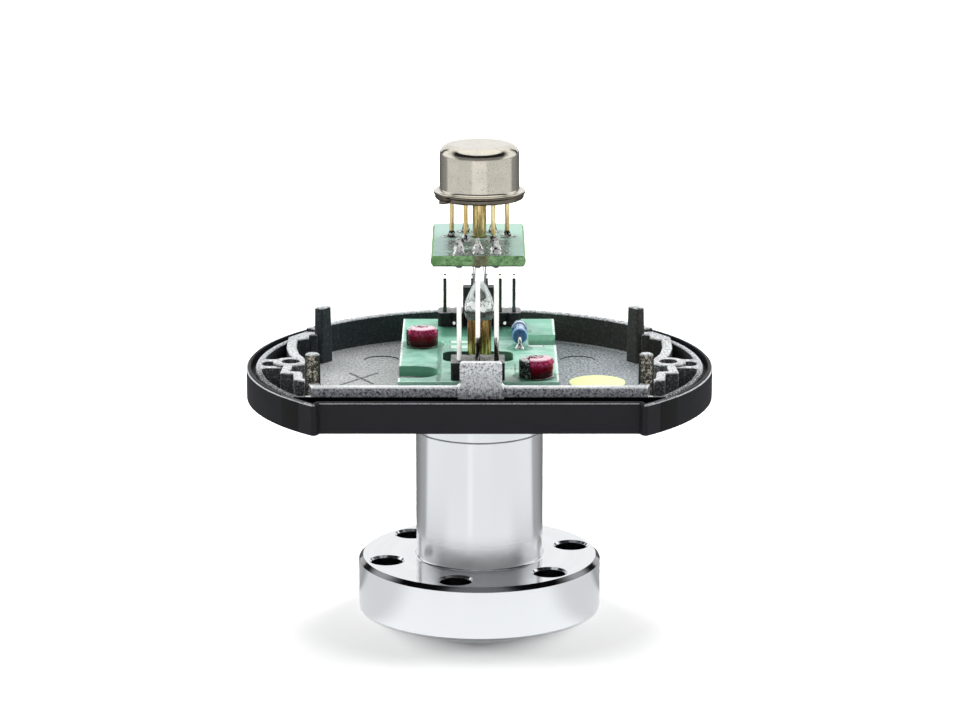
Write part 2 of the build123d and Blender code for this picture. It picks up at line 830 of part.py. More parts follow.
def main():
    os.makedirs("parts", exist_ok=True)
    save(flange_tube(), "flange_tube")
    save(neck_collar(), "neck_collar")
    save(base_casting(), "base_casting")
    save(main_board(), "main_board")
    save(sensor_board(), "sensor_board")
    save(board_screws(), "board_screws")
    save(screw_varnish(), "screw_varnish")
    save(header_body(plug_pitch, plug_columns, plug_pin, plug_body_h, plug_grid()), "plug_header")
    save(square_pins(plug_pin, board_z - pin_tail, board_top + plug_pin_h, plug_grid()), "plug_header_pins")
    save(jumper_cap(), "jumper_cap")
    save(header_body(riser_pitch, riser_columns, riser_pin, riser_body_h, riser_grid(), riser_trim),
         "riser_header")
    save(square_pins(riser_pin, board_z - pin_tail, riser_top + riser_over, riser_grid()), "riser_pins")
    save(inlet_tube(), "inlet_tube")
    save(isolator_seal(), "isolator_seal")
    save(glass_isolator(), "glass_isolator")
    save(sensor_tube(), "sensor_tube")
    save(sensor_base(), "sensor_base")
    save(sensor_cap(), "sensor_cap")
    save(sensor_pins(), "sensor_pins")
    save(pin_seals(), "pin_seals")
    save(resistor_body(), "resistor_body")
    save(resistor_leads(), "resistor_leads")
    save(riser_solder(), "riser_solder")
    save(sensor_solder(), "sensor_solder")
    save(resistor_solder(), "resistor_solder")
    save(floor_dot(), "floor_dot")


main()
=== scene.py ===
import math
import bpy
import numpy as np
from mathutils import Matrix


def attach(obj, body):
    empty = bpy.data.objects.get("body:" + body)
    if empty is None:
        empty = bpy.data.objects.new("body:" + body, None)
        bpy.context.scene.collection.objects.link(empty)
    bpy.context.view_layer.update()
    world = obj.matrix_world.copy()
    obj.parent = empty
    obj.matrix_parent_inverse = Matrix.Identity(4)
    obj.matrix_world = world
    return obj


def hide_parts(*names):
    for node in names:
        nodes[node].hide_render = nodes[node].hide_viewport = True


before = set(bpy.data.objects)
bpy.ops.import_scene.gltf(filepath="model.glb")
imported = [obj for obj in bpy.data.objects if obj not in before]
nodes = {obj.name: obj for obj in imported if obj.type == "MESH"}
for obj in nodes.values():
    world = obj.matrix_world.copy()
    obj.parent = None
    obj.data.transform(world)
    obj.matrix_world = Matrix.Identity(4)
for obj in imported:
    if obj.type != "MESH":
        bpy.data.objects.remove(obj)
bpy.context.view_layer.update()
mm = 0.001
print("gauge: frame loaded,", len(nodes), "CAD nodes")


class Shade:  # one shader socket; arithmetic on it adds Math nodes
    def __init__(self, skin, made, out=0):
        self.skin, self.made, self.socket = skin, made, made.outputs[out]

    def at(self, out):  # another output of the same node
        return Shade(self.skin, self.made, out)

    def calc(self, operation, *values):
        return self.skin.node("ShaderNodeMath", {"operation": operation}, dict(enumerate(values)))

    def __add__(self, other): return self.calc("ADD", self, other)
    def __sub__(self, other): return self.calc("SUBTRACT", self, other)
    def __rsub__(self, other): return self.calc("SUBTRACT", other, self)
    def __mul__(self, other): return self.calc("MULTIPLY", self, other)
    def __truediv__(self, other): return self.calc("DIVIDE", self, other)
    def __pow__(self, other): return self.calc("POWER", self, other)
    def __neg__(self): return self.calc("MULTIPLY", self, -1.0)
    def __abs__(self): return self.calc("ABSOLUTE", self)
    def __and__(self, other): return self.calc("MINIMUM", self, other)
    def __or__(self, other): return self.calc("MAXIMUM", self, other)
    __radd__ = __add__
    __rmul__ = __mul__


class Skin:  # one material; patterns are worked out in millimetres of the part's own frame
    def __init__(self, name):
        self.material = bpy.data.materials.new(name)
        self.material.use_nodes = True
        self.tree = self.material.node_tree
        self.tree.nodes.clear()
        place = self.node("ShaderNodeTexCoord", out="Object")
        self.point = self.node("ShaderNodeVectorMath", {"operation": "SCALE"}, {0: place, "Scale": 1 / mm})
        parts = self.node("ShaderNodeSeparateXYZ", None, {0: self.point})
        self.x, self.y, self.z = parts, parts.at(1), parts.at(2)

    def node(self, kind, settings=None, sockets=None, out=0):
        made = self.tree.nodes.new(kind)
        for key, value in (settings or {}).items():
            setattr(made, key, value)
        for key, value in (sockets or {}).items():
            if isinstance(value, Shade):
                self.tree.links.new(value.socket, made.inputs[key])
            elif made.inputs[key].type == "RGBA":
                made.inputs[key].default_value = (*value, 1.0)
            else:
                made.inputs[key].default_value = value
        return Shade(self, made, out) if made.outputs else made

    def moved(self, stretch=(1, 1, 1), shift=(0, 0, 0)):  # the point, stretched and then shifted
        return self.node("ShaderNodeVectorMath", {"operation": "MULTIPLY_ADD"},
                         {0: self.point, 1: stretch, 2: shift})

    def noise(self, size, detail=3.0, rough=0.55, stretch=(1, 1, 1), shift=(0, 0, 0)):  # clouds size mm wide
        return self.node("ShaderNodeTexNoise", None, {
            "Vector": self.moved(stretch, shift), "Scale": 1 / size, "Detail": detail, "Roughness": rough})

    def ease(self, value, low, high):  # 0 at low, 1 at high and a smooth step between; low may be the higher
        return self.node("ShaderNodeMapRange", {"interpolation_type": "SMOOTHSTEP"}, {
            "Value": value, "From Min": low, "From Max": high, "To Min": 0.0, "To Max": 1.0})

    def band(self, value, middle, half, soft):  # 1 within half of the middle, falling to 0 over soft
        return self.ease(abs(value - middle), half + soft, half)

    def rect(self, x0, x1, y0, y1, soft=0.05):  # 1 inside a rectangle in plan
        return (self.band(self.x, (x0 + x1) / 2, (x1 - x0) / 2, soft)
                * self.band(self.y, (y0 + y1) / 2, (y1 - y0) / 2, soft))

    def length(self, a, b):  # of the slope side of a right angle
        total = a * a + b * b
        return total.calc("SQRT", total)

    def reach(self, x=0.0, y=0.0):  # distance in plan from a point
        return self.length(self.x - x, self.y - y)

    def near(self, x, y, radius, soft, both=False):  # 1 near a point in plan, or near its mirror image too
        return self.ease(self.length((abs(self.x) if both else self.x) - x, self.y - y), radius + soft, radius)

    def stroke(self, start, end, half, soft=0.05):  # straight line in plan with round ends
        dx, dy = end[0] - start[0], end[1] - start[1]
        px, py = self.x - start[0], self.y - start[1]
        along = (((px * dx + py * dy) / (dx * dx + dy * dy)) & 1.0) | 0.0
        return self.ease(self.length(px - along * dx, py - along * dy), half + soft, half)

    def mix(self, share, first, second):  # first where share is 0, second where it is 1
        return self.node("ShaderNodeMix", {"data_type": "RGBA"}, {0: share, 6: first, 7: second}, 2)

    def coats(self, colour, *coats):  # a colour under coats, each a share from 0 to 1 and a colour
        for share, tint in coats:
            colour = self.mix(share, colour, tint)
        return colour

    def faces(self, axis):  # how far the surface faces along X (0), Y (1) or Z (2)
        facing = self.node("ShaderNodeNewGeometry", out="True Normal")
        return self.node("ShaderNodeSeparateXYZ", None, {0: facing}, axis)

    def up(self):  # 1 on tops, 0 on walls, -1 on undersides
        return self.faces(2)

    def rounded(self, radius, samples=4):  # surface direction as if every edge had that radius in mm
        return self.node("ShaderNodeBevel", {"samples": samples}, {"Radius": radius * mm})

    def edges(self, radius, low=0.02, high=0.2):  # 1 on sharp edges: how far the rounded direction turns away
        true = self.node("ShaderNodeNewGeometry", out="Normal")
        same = self.node("ShaderNodeVectorMath", {"operation": "DOT_PRODUCT"},
                         {0: self.rounded(radius), 1: true}, "Value")
        return self.ease(1.0 - same, low, high)

    def bump(self, height, depth, normal=None):  # relief: a height of 1 stands depth mm above 0
        sockets = {"Height": height, "Distance": depth * mm, "Strength": 1.0}
        if normal is not None:
            sockets["Normal"] = normal
        return self.node("ShaderNodeBump", None, sockets)

    def done(self, colour, rough, metal=0.0, normal=None, **constants):
        sockets = {"Base Color": colour, "Roughness": rough, "Metallic": metal}
        if normal is not None:
            sockets["Normal"] = normal
        for key, value in constants.items():
            sockets[key.replace("_", " ")] = value
        return self.shown(self.node("ShaderNodeBsdfPrincipled", None, sockets))

    def shining(self, light, tint, strength):  # for what only shines: a tint as bright as the light, 0 to 1
        glow = self.mix(light, (0, 0, 0), tint)
        return self.shown(self.node("ShaderNodeEmission", None, {"Color": glow, "Strength": strength}))

    def shown(self, shader):
        self.node("ShaderNodeOutputMaterial", None, {0: shader})
        return self.material


def tone(*levels):  # a colour given as 0 to 255 screen values, as the linear values shaders use
    return tuple(((v / 255 + 0.055) / 1.055) ** 2.4 if v > 10 else v / 255 / 12.92 for v in levels)


def dress(material, *names):
    for name in names:
        mesh = nodes[name].data
        mesh.materials.clear()
        mesh.materials.append(material)


# What several pieces share: places in plan, and heights over the sealing face
places = {"screws": ((-8.1, 8.4), (7.65, -9.9)), "leads": ((5.7, 6.2), (5.7, 16.5)),
          "risers": tuple((x, y) for x in (-2.76, -0.22, 2.22) for y in (-11.27, -8.73)),
          "canPins": tuple((3.81 * math.cos(math.radians(60 * i)), 3.81 * math.sin(math.radians(60 * i)))
                           for i in range(6)),
          "deck": 35.68, "smallUnder": 51.56, "smallDeck": 53.06}

# Turned steel of the flange, tube and collar
steel = {"colour": tone(222, 223, 225), "dark": tone(215, 217, 220), "lineSize": 0.09, "lineDepth": 0.0002,
         "drawn": 0.7, "turn": 0.25, "edge": 0.06, "specks": (22.0, 1.6), "boltCircle": 13.5, "boreR": 2.24,
         "top": 7.3, "bevelR": 16.2, "bevelZ": 6.7, "tubeR": 9.2, "foot": (13.0, 8.2)}


def turnedSteel(name, rough, seed):
    # Fine lines run round the axis: noise of the radius on flat faces and of the height on walls. The bolt holes'
    # walls are painted dark as shade and the flange's bevel is painted dark as a reflection, most at the front; the
    # tube's foot is duller.
    skin = Skin(name)
    ring = skin.reach()
    walls = skin.ease(abs(skin.up()), 0.7, 0.3)
    along = skin.node("ShaderNodeCombineXYZ", None, {0: ring * (1 - walls) + skin.z * walls, 1: seed})
    lines = skin.node("ShaderNodeTexNoise", None, {
        "Vector": along, "Scale": 1 / steel["lineSize"], "Detail": 4.0, "Roughness": 0.75})
    broad = skin.node("ShaderNodeTexNoise", None, {"Vector": along, "Scale": 0.45, "Detail": 2.0})
    speck = skin.ease(skin.noise(0.22, 2.0, 0.6, shift=(seed, 0, 0)), 0.7, 0.76)
    speck = speck * skin.band(skin.z, *steel["specks"], 1.5)
    # painted shade on the walls of the bolt holes
    boreShade = skin.band(ring, steel["boltCircle"], steel["boreR"], 0.04) * walls
    boreShade = boreShade * skin.ease(skin.z, steel["top"], steel["top"] - 0.2)
    # painted dark reflection on the flange's bevel, strongest at the front
    bevelReflection = skin.band(skin.up(), 0.7, 0.16, 0.05) * skin.ease(ring, steel["bevelR"], steel["bevelR"] + 0.15)
    bevelReflection = bevelReflection * skin.ease(skin.z, steel["bevelZ"], steel["bevelZ"] + 0.2)
    foot = walls * skin.ease(skin.z, *steel["foot"]) * skin.ease(ring, steel["tubeR"] + 0.2, steel["tubeR"])
    colour = skin.coats(skin.mix(skin.ease(broad, 0.3, 0.7) | walls, steel["dark"], steel["colour"]),
                        (speck * 0.35, tone(120, 122, 126)),
                        (boreShade * 0.85, tone(46, 47, 50)),
                        (bevelReflection * (0.74 + 0.18 * skin.ease(skin.y, -10.0, -15.0)), tone(50, 51, 54)))
    rough = rough + (lines - 0.5) * 0.03 - 0.09 * (1 - walls)
    normal = skin.bump(lines, steel["lineDepth"], skin.rounded(steel["edge"]))
    return skin.done(colour, rough, 1.0 - foot * 0.7, normal,
                     Anisotropic=steel["drawn"], Anisotropic_Rotation=steel["turn"])


dress(turnedSteel("turned flange steel", 0.2, 1.0), "flange_tube")
dress(turnedSteel("turned collar steel", 0.21, 5.0), "neck_collar")

# Cast base: bare grainy metal inside, black paint outside
cast = {"base": 30.8, "wallLow": 2.0, "ledgeTop": 4.16, "grooveR": 31.15, "grooveFloor": 3.2, "ringR": 29.35,
        "ringLine": 29.2, "rimEdge": 32.22, "frontEdge": -22.22, "frontPaint": -20.1, "frontFace": -18.5,
        "frontTop": -16.9, "wallHalf": 23.5, "corner": (24.0, 2.4), "gap": (-20.05, 1.5), "tabLit": (5.0, 6.6),
        "rearPost": (22.4, 14.5), "frontPost": (22.5, -15.4), "boss": (26.3, 0.0), "mark": (14.1, 15.5),
        "markR": 2.5, "cross": (((-18.3, 7.6), (-14.9, 1.4)), ((-14.5, 7.6), (-19.4, 0.8))), "grain": 0.17,
        "grainDepth": 0.035, "edge": 0.12, "light": tone(188, 190, 190), "dark": tone(156, 162, 168),
        "top": tone(197, 200, 201), "paint": tone(38, 37, 41)}


def castBase():
    # Colour goes by place: black paint outside the groove, in front and underneath, and bare metal within, painted
    # lighter on the left as painted light. Two levels of one noise give the light and the dark flecks of the grain.
    skin = Skin("die casting with painted rim")
    ring, up, height = skin.reach(), skin.up(), skin.z - cast["base"]
    grain = skin.noise(cast["grain"], 4.0, 0.75)
    fleck = skin.noise(0.36, 4.0, 0.85, shift=(7, 0, 0))
    bright, dim = skin.ease(fleck, 0.52, 0.59), skin.ease(fleck, 0.48, 0.41)
    cloud = skin.noise(4.0, 4.0, 0.6)
    # painted light: the bare metal is lighter on the left and darker towards the right
    right = skin.ease(skin.x + (cloud - 0.5) * 10.0, -7.0, 9.0)
    high = skin.ease(height, cast["wallLow"], cast["wallLow"] + 0.6)

    # the floor and the tops of walls, posts and bosses
    coats = [(skin.ease(cloud, 0.45, 0.7) * 0.3, tone(150, 156, 160)), (high, cast["top"])]
    coats += [(skin.near(*at, 2.5, 0.3, True) * high * 0.3, tone(150, 152, 153))
              for at in (cast["rearPost"], cast["boss"])]
    crown = skin.mix(skin.ease(skin.y, -1.0, -7.0), tone(172, 175, 178), tone(46, 47, 49))
    coats.append((skin.ease(ring, cast["ringR"], cast["ringR"] + 0.2), crown))
    coats += [(skin.stroke(*line, 0.19, 0.14) * 0.9, tone(52, 53, 55)) for line in cast["cross"]]
    arc = skin.near(*cast["mark"], cast["markR"] + 0.1, 0.06, True)
    arc = arc - skin.near(*cast["mark"], cast["markR"] - 0.12, 0.08, True)
    line = skin.band(ring, cast["ringLine"], 0.35, 0.15) * skin.ease(skin.y, 5.0, 9.0)
    line = line * skin.ease(height, cast["wallLow"], cast["wallLow"] - 0.5)
    # painted highlight on the front wall's top
    frontTopHighlight = skin.ease(skin.y, cast["frontTop"], cast["frontTop"] - 0.2) * high
    frontTopHighlight = frontTopHighlight * skin.ease(abs(skin.x), cast["wallHalf"], cast["wallHalf"] - 0.3)
    floor = skin.coats(skin.mix(right, cast["light"], cast["dark"]), *coats,
                       (arc * skin.ease(skin.y, 15.2, 16.6), tone(44, 46, 48)),
                       (line, tone(220, 222, 222)),
                       (frontTopHighlight, tone(240, 242, 243)),
                       (bright * (0.5 + right * 0.15), tone(244, 245, 245)),
                       (dim * (0.62 + high * 0.15 + right * 0.12 - frontTopHighlight * 0.5), tone(62, 64, 67)))

    # the walls, painted dark as shade and painted lighter at the ends where light falls on them; the front posts,
    # painted darker towards their sides as shade; and the tab's lit plate
    ends = skin.ease(abs(skin.x), 18.5, 20.0) * skin.ease(skin.y, 6.0, 3.0)
    post = skin.mix(bright, skin.mix(dim, tone(84, 83, 80), tone(30, 30, 28)), tone(216, 210, 186))
    aside = skin.ease(abs(abs(skin.x) - cast["frontPost"][0]), 0.6, 0.9)
    lit = skin.ease(height, *cast["tabLit"])
    plate = skin.mix(lit, skin.mix(dim, tone(186, 188, 194), tone(84, 86, 94)),
                     skin.mix(dim, tone(232, 235, 238), tone(122, 126, 131)))
    plate = skin.mix(bright * (0.75 + lit * 0.25), plate, tone(246, 247, 250))
    # painted shade: upright faces dark, painted lighter at the ends where they are lit
    walls = skin.coats(skin.mix(skin.ease(skin.x, -6.0, 10.0), tone(55, 61, 64), tone(66, 66, 64)),
                       (ends, tone(86, 88, 90)),
                       (bright * (0.08 + ends * 0.5), tone(190, 192, 192)),
                       (skin.near(*cast["frontPost"], 1.3, 0.15, True), skin.mix(aside, post, tone(40, 40, 40))),
                       (skin.ease(skin.y, cast["frontFace"], cast["frontFace"] - 0.08), plate))
    bare = skin.mix(skin.ease(up, 0.3, 0.7), walls, floor)
    # painted highlight along the edges, stronger higher up
    edge = skin.edges(0.09, 0.03, 0.22) * (0.4 + 0.5 * skin.ease(height, 2.0, 3.0))
    bare = skin.mix(edge, bare, tone(226, 228, 229))

    # the paint, with a thin light line along the rim's outer edge, part wear and part painted highlight, and darker
    # towards both ends as painted shade
    gap = skin.band(skin.y, *cast["gap"], 0.05) * skin.ease(height, cast["ledgeTop"], cast["ledgeTop"] - 0.1)
    outside = (skin.ease(ring, cast["grooveR"] - 0.05, cast["grooveR"] + 0.02) | skin.ease(up, -0.5, -0.8)
               | skin.ease(skin.y, cast["frontPaint"] + 0.05, cast["frontPaint"] - 0.05) | gap)
    outward = (skin.faces(0) * skin.x + skin.faces(1) * skin.y) / ring
    brink = (skin.ease(ring, cast["rimEdge"], cast["rimEdge"] + 0.08)
             | skin.ease(skin.y, cast["frontEdge"], cast["frontEdge"] - 0.08)
             | (skin.band(abs(skin.x), *cast["corner"], 0.3) * 0.3))
    # thin light line on the rim's outer edge: part wear, part painted highlight
    wearAndSheen = skin.band(up, 0.8, 0.21, 0.04) * skin.ease(outward, 0.1, 0.25) * brink
    groove = skin.ease(height, cast["grooveFloor"], cast["grooveFloor"] - 0.2) * skin.ease(up, 0.5, 0.8)
    # painted shade: the paint is darker towards both ends
    paint = skin.coats(cast["paint"], (skin.ease(abs(skin.x), 20.0, 28.0) * 0.9, tone(17, 18, 21)),
                       (wearAndSheen * (0.3 + 0.5 * skin.ease(fleck, 0.4, 0.5)), tone(214, 216, 219)),
                       (groove | gap, tone(10, 10, 11)))
    normal = skin.bump(grain * (1 - outside * 0.9), cast["grainDepth"], skin.rounded(cast["edge"]))
    return skin.done(skin.mix(outside, bare, paint), 0.5 - outside * 0.06, 0.25 * (1 - outside), normal,
                     Specular_IOR_Level=0.08)


dress(castBase(), "base_casting")

# Boards
board = {"mask": tone(152, 196, 180), "shade": tone(116, 172, 150), "left": -11.07, "right": 10.83, "front": -13.4,
         "header": (-5.0, 4.7, 13.8, 19.4), "square": (3.4, 6.9, -12.6, -6.2), "trace": (-5.6, -13.0, 9.0),
         "pads": ((-4.0, -1.7, 6.2, 7.9), (-4.0, -1.7, 9.4, 10.7), (6.9, 8.9, 7.2, 7.9)),
         "dots": ((4.9, -10.4), (4.9, -3.2)), "dash": ((3.0, -6.0), (4.4, -6.0)), "blotch": (3.9, 9.6, 1.2),
         "ovals": ((-8.35, -4.25), (-6.6, -4.25)), "window": (-0.2, 1.3, 6.0)}


def mainBoard():
    # Solder mask over copper: soft clouds, lighter pads with dark outlines, dark dots along one trace, a dark ring
    # round each screw and lead, and broken white lines along the long edges and a light line along the front edge,
    # both painted highlights.
    skin = Skin("green solder mask")
    cloud, grit = skin.noise(2.2, 4.0, 0.6), skin.noise(0.4, 3.0, 0.7, shift=(3, 1, 0))
    coats = [(skin.ease(skin.y, 8.0, 13.0) * 0.5, tone(96, 170, 142)),
             # painted shadow of the rear header on the board
             (skin.rect(*board["header"], 1.0) * 0.75, tone(46, 112, 86)),
             (skin.ease(skin.y, 22.0, 22.5) * 0.5, tone(78, 146, 118)),
             (skin.rect(*board["square"], 0.06) * 0.7, tone(190, 220, 204))]
    for x0, x1, y0, y1 in board["pads"]:
        coats += [(skin.rect(x0 - 0.25, x1 + 0.25, y0 - 0.25, y1 + 0.25) * 0.55, tone(62, 110, 90)),
                  (skin.rect(x0, x1, y0, y1, 0.08), tone(206, 228, 214))]
    x, low, high = board["trace"]
    strip = skin.band(skin.x + (cloud - 0.5) * 0.6, x, 0.16, 0.28)
    strip = strip * skin.band(skin.y, (low + high) / 2, (high - low) / 2, 0.5)
    dots = skin.stroke(*board["dots"], 0.05, 0.12) | skin.stroke(*board["dash"], 0.12, 0.08)
    coats += [(strip * 0.85, tone(62, 124, 98)),
              (strip * skin.ease(grit, 0.57, 0.61), tone(14, 26, 22)),
              (dots * skin.ease(grit, 0.42, 0.48), tone(38, 62, 52)),
              (skin.near(*board["blotch"], 0.5) * skin.ease(grit, 0.58, 0.5), tone(172, 214, 197))]
    run = skin.mix(skin.ease(grit, 0.42, 0.58), tone(34, 104, 74), tone(86, 156, 122))
    for at in places["screws"]:
        # pale broken ring round each screw: part tinned pad, part painted reflection
        shine = skin.near(*at, 3.35, 0.12) * (1 - skin.near(*at, 3.05, 0.2)) * skin.ease(grit, 0.5, 0.62)
        coats += [(skin.near(*at, 3.0, 0.3), run), (shine * 0.7, tone(224, 242, 233))]
    smear = skin.mix(skin.ease(grit, 0.4, 0.6), tone(40, 98, 76), tone(104, 172, 142))
    coats += [(skin.near(*at, 1.7, 0.3) * 0.9, smear) for at in places["leads"]]
    coats += [(skin.band(skin.reach(*at), 0.55, 0.05, 0.1) * 0.5, tone(104, 130, 120)) for at in board["ovals"]]
    left, right, front = board["left"], board["right"], board["front"]
    sides = skin.ease(skin.x, left + 0.36, left + 0.12) | skin.ease(skin.x, right - 0.4, right - 0.15)
    mask = skin.coats(skin.mix(skin.ease(cloud, 0.35, 0.65), board["mask"], board["shade"]), *coats,
                      # painted highlights: broken white lines along the long edges and a light line along the front
                      # edge
                      (sides * skin.ease(grit, 0.4, 0.5), tone(236, 243, 239)),
                      (skin.ease(skin.y, front + 0.45, front + 0.15) * 0.6, tone(214, 240, 228)))
    fibre = skin.noise(0.5, 3.0, 0.7, stretch=(1, 1, 3))
    # painted shade on the window's inner wall
    inner = skin.mix(skin.ease(skin.x, 0.0, 3.0), tone(58, 92, 80), tone(104, 156, 128))
    edge = skin.coats(skin.mix(skin.ease(fibre, 0.35, 0.65), tone(174, 240, 206), tone(198, 250, 226)),
                      (skin.ease(skin.x, -5.0, -6.0) * skin.ease(skin.y, -12.9, -12.7), tone(104, 168, 138)),
                      (skin.near(*board["window"], 0.4), inner),
                      (skin.ease(skin.z, 35.1, 34.5) * 0.45, tone(60, 116, 92)))
    tops = skin.ease(abs(skin.up()), 0.4, 0.8)
    return skin.done(skin.mix(tops, edge, mask), 0.3 + cloud * 0.15, 0.0, skin.bump(cloud, 0.05),
                     Specular_IOR_Level=0.4)


sensorBoard = {"left": tone(148, 180, 171), "right": tone(146, 184, 167), "flux": (-3.9, 3.6, -12.9, -3.0),
               "patch": (0.15, 0.9)}


def smallBoard():
    # Paler mask with flux: discs round every pin, cut by noise into dark brown and white bits. The snapped edge is
    # mottled green with a brown patch in the middle.
    skin = Skin("green solder mask, sensor board")
    cloud, grit = skin.noise(2.5, 4.0, 0.6), skin.noise(0.45, 4.0, 0.75, shift=(2, 5, 0))
    flux = skin.near(0.0, 0.0, 1.3, 0.5)
    for at in places["risers"] + places["canPins"]:
        flux = flux | skin.near(*at, 0.95, 0.8)
    flux = flux | (skin.rect(*sensorBoard["flux"], 1.2) * skin.ease(cloud, 0.36, 0.48))
    right = skin.ease(skin.x + (cloud - 0.5) * 6, -4.0, 4.0)
    mask = skin.coats(skin.mix(right, sensorBoard["left"], sensorBoard["right"]),
                      (skin.ease(cloud, 0.55, 0.7) * 0.5, tone(118, 158, 143)),
                      (flux * skin.ease(grit, 0.43, 0.5), tone(58, 68, 46)),
                      (flux * skin.ease(grit, 0.54, 0.6), tone(14, 15, 12)),
                      (flux * skin.ease(grit, 0.42, 0.38), tone(248, 250, 246)))
    fibre = skin.noise(0.7, 4.0, 0.75, stretch=(1, 1, 1.6))
    patch = skin.band(skin.x + (grit - 0.5) * 1.6, *sensorBoard["patch"], 0.4)
    brown = skin.mix(skin.ease(grit, 0.4, 0.6), tone(74, 66, 42), tone(116, 108, 76))
    under = places["smallUnder"]
    edge = skin.coats(skin.mix(skin.ease(fibre, 0.4, 0.6), tone(90, 136, 82), tone(132, 176, 118)),
                      (skin.ease(fibre, 0.44, 0.34), tone(70, 98, 60)),
                      (skin.ease(skin.x, -4.6, -5.6) * 0.6, tone(84, 138, 66)),
                      (patch * 0.85, brown),
                      (skin.ease(skin.z, under + 0.29, under + 0.09) * 0.75, tone(52, 56, 44)))
    tops = skin.ease(abs(skin.up()), 0.55, 0.85)
    return skin.done(skin.mix(tops, edge, mask), 0.3 + cloud * 0.15, 0.0, skin.bump(cloud + grit * flux, 0.06),
                     Specular_IOR_Level=0.4)


dress(mainBoard(), "main_board")
dress(smallBoard(), "sensor_board")


def plain(name, colour, rough, metal=0.0, size=0.4, depth=0.01, second=None):
    # Soft clouds of a colour and a second one, which is a darker tone of it where none is given.
    skin = Skin(name)
    cloud = skin.noise(size, 4.0, 0.6)
    tint = skin.mix(skin.ease(cloud, 0.35, 0.65), colour, second or tuple(v * 0.75 for v in colour))
    return skin.done(tint, rough + (cloud - 0.5) * 0.15, metal, skin.bump(cloud, depth))


moulded = {"shoulder": (37.0, 37.4), "wearAndSheen": (40.0, 39.0), "dotX": (-3.7, 3.68), "dotZ": 36.2,
           "dotFront": (19.8, 19.6), "dotBack": (18.0, 19.0)}


def moulding():
    # Black sides, grey tops, part wear and part painted sheen, light edges as painted highlight, and two white dots
    # on the rear header's front, painted highlights made to glow.
    skin = Skin("black moulding")
    grit = skin.noise(0.4, 4.0, 0.7)
    tops = skin.ease(skin.up(), 0.5, 0.8) * skin.ease(skin.z, *moulded["shoulder"])
    wearAndSheen = skin.mix(skin.ease(grit, 0.42, 0.58), tone(142, 144, 144), tone(74, 76, 77))
    # two white dots: painted highlights, made to glow
    left, right = (skin.length(skin.x - x, skin.z - moulded["dotZ"]) for x in moulded["dotX"])
    dots = skin.ease(left & right, 0.265, 0.187)
    dots = dots * skin.ease(skin.y, *moulded["dotFront"]) * skin.ease(skin.y, *moulded["dotBack"])
    colour = skin.coats(skin.mix(skin.ease(grit, 0.4, 0.6), tone(24, 24, 25), tone(38, 38, 39)),
                        (tops * skin.ease(skin.z, *moulded["wearAndSheen"]), wearAndSheen),
                        # painted highlight along the edges
                        (skin.edges(0.06) * 0.35, tone(150, 152, 152)),
                        (dots, (1.0, 1.0, 1.0)))
    return skin.done(colour, 0.42 + (grit - 0.5) * 0.2, 0.0, skin.bump(grit, 0.015), Specular_IOR_Level=0.35,
                     Emission_Color=skin.mix(dots, (0, 0, 0), (1, 1, 1)), Emission_Strength=0.6)


riserTin = {"colour": tone(255, 253, 246), "low": 41.4, "lowTone": tone(58, 48, 34), "tip": 53.3,
            "tipTone": tone(236, 236, 230), "spots": 1.0}
# plug pins: tinned metal painted dark as shade
shadedPlugTin = {"colour": tone(84, 84, 80), "low": 0.0, "lowTone": tone(60, 60, 58), "tip": 42.7,
           "tipTone": tone(248, 248, 246), "spots": 0.0}
rearRow = (21.4, 21.6)


def tinnedPins(name, tin):
    # Colour changes towards the foot below the low level and at the tip above the tip level. Spotted tips are
    # solder; plain ones glow white as painted highlight, and a little lower in the rear row, where they end in a
    # dark cap.
    skin = Skin(name)
    low, tip, spots, colour = tin["low"], tin["tip"], tin["spots"], tin["colour"]
    streak = skin.noise(0.5, 4.0, 0.6, (1, 1, 0.15))
    foot = skin.ease(skin.z + (streak - 0.5) * 0.6, low + 0.15, low - 0.15) * skin.ease(skin.x, -1.9, -1.5)
    spot = skin.ease(skin.noise(0.3, 3.0, 0.7), 0.54, 0.6) * spots
    rear = skin.ease(skin.y, *rearRow)
    above = skin.ease(skin.z + rear * 0.3, tip - 0.08, tip + 0.02)
    lift = above * (1 - spots)
    cap = lift * rear * skin.ease(skin.z, tip, tip + 0.04)
    body = skin.coats(skin.mix(skin.ease(streak, 0.4, 0.65), colour, tuple(v * 0.94 for v in colour)),
                      (foot, skin.mix(skin.ease(streak, 0.42, 0.56), tin["lowTone"], colour)),
                      (above, skin.mix(spot, tin["tipTone"], tone(34, 34, 32))),
                      (cap, tone(20, 20, 20)))
    normal = skin.bump(streak, 0.003, skin.rounded(0.05))
    return skin.done(body, 0.2 + (streak - 0.5) * 0.1, 0.85 * (1 - above), normal,
                     Emission_Color=skin.mix(lift - cap, (0, 0, 0), (1, 1, 1)), Emission_Strength=0.7)


def goldPlate(name, colour, dark, size, share):
    # Light streaks along the axis over a darker ground.
    skin = Skin(name)
    streak = skin.noise(size, 4.0, 0.65, (1, 1, 0.12))
    body = skin.mix(skin.ease(streak, 0.5 - share, 0.5 + share), colour, dark)
    return skin.done(body, 0.22 + (streak - 0.5) * 0.2, 1.0, skin.bump(streak, 0.02))


# Sensor can: lip, hollow foot, straight wall and a wide round shoulder
can = {"foot": 59.2, "lip": 59.65, "top": 66.05, "lipR": 6.33, "r": 5.5, "footRound": 0.35, "shoulder": 1.45,
       "lipRound": 0.18, "lipBreak": 0.1, "wallStart": 0.6, "inset": 0.3}


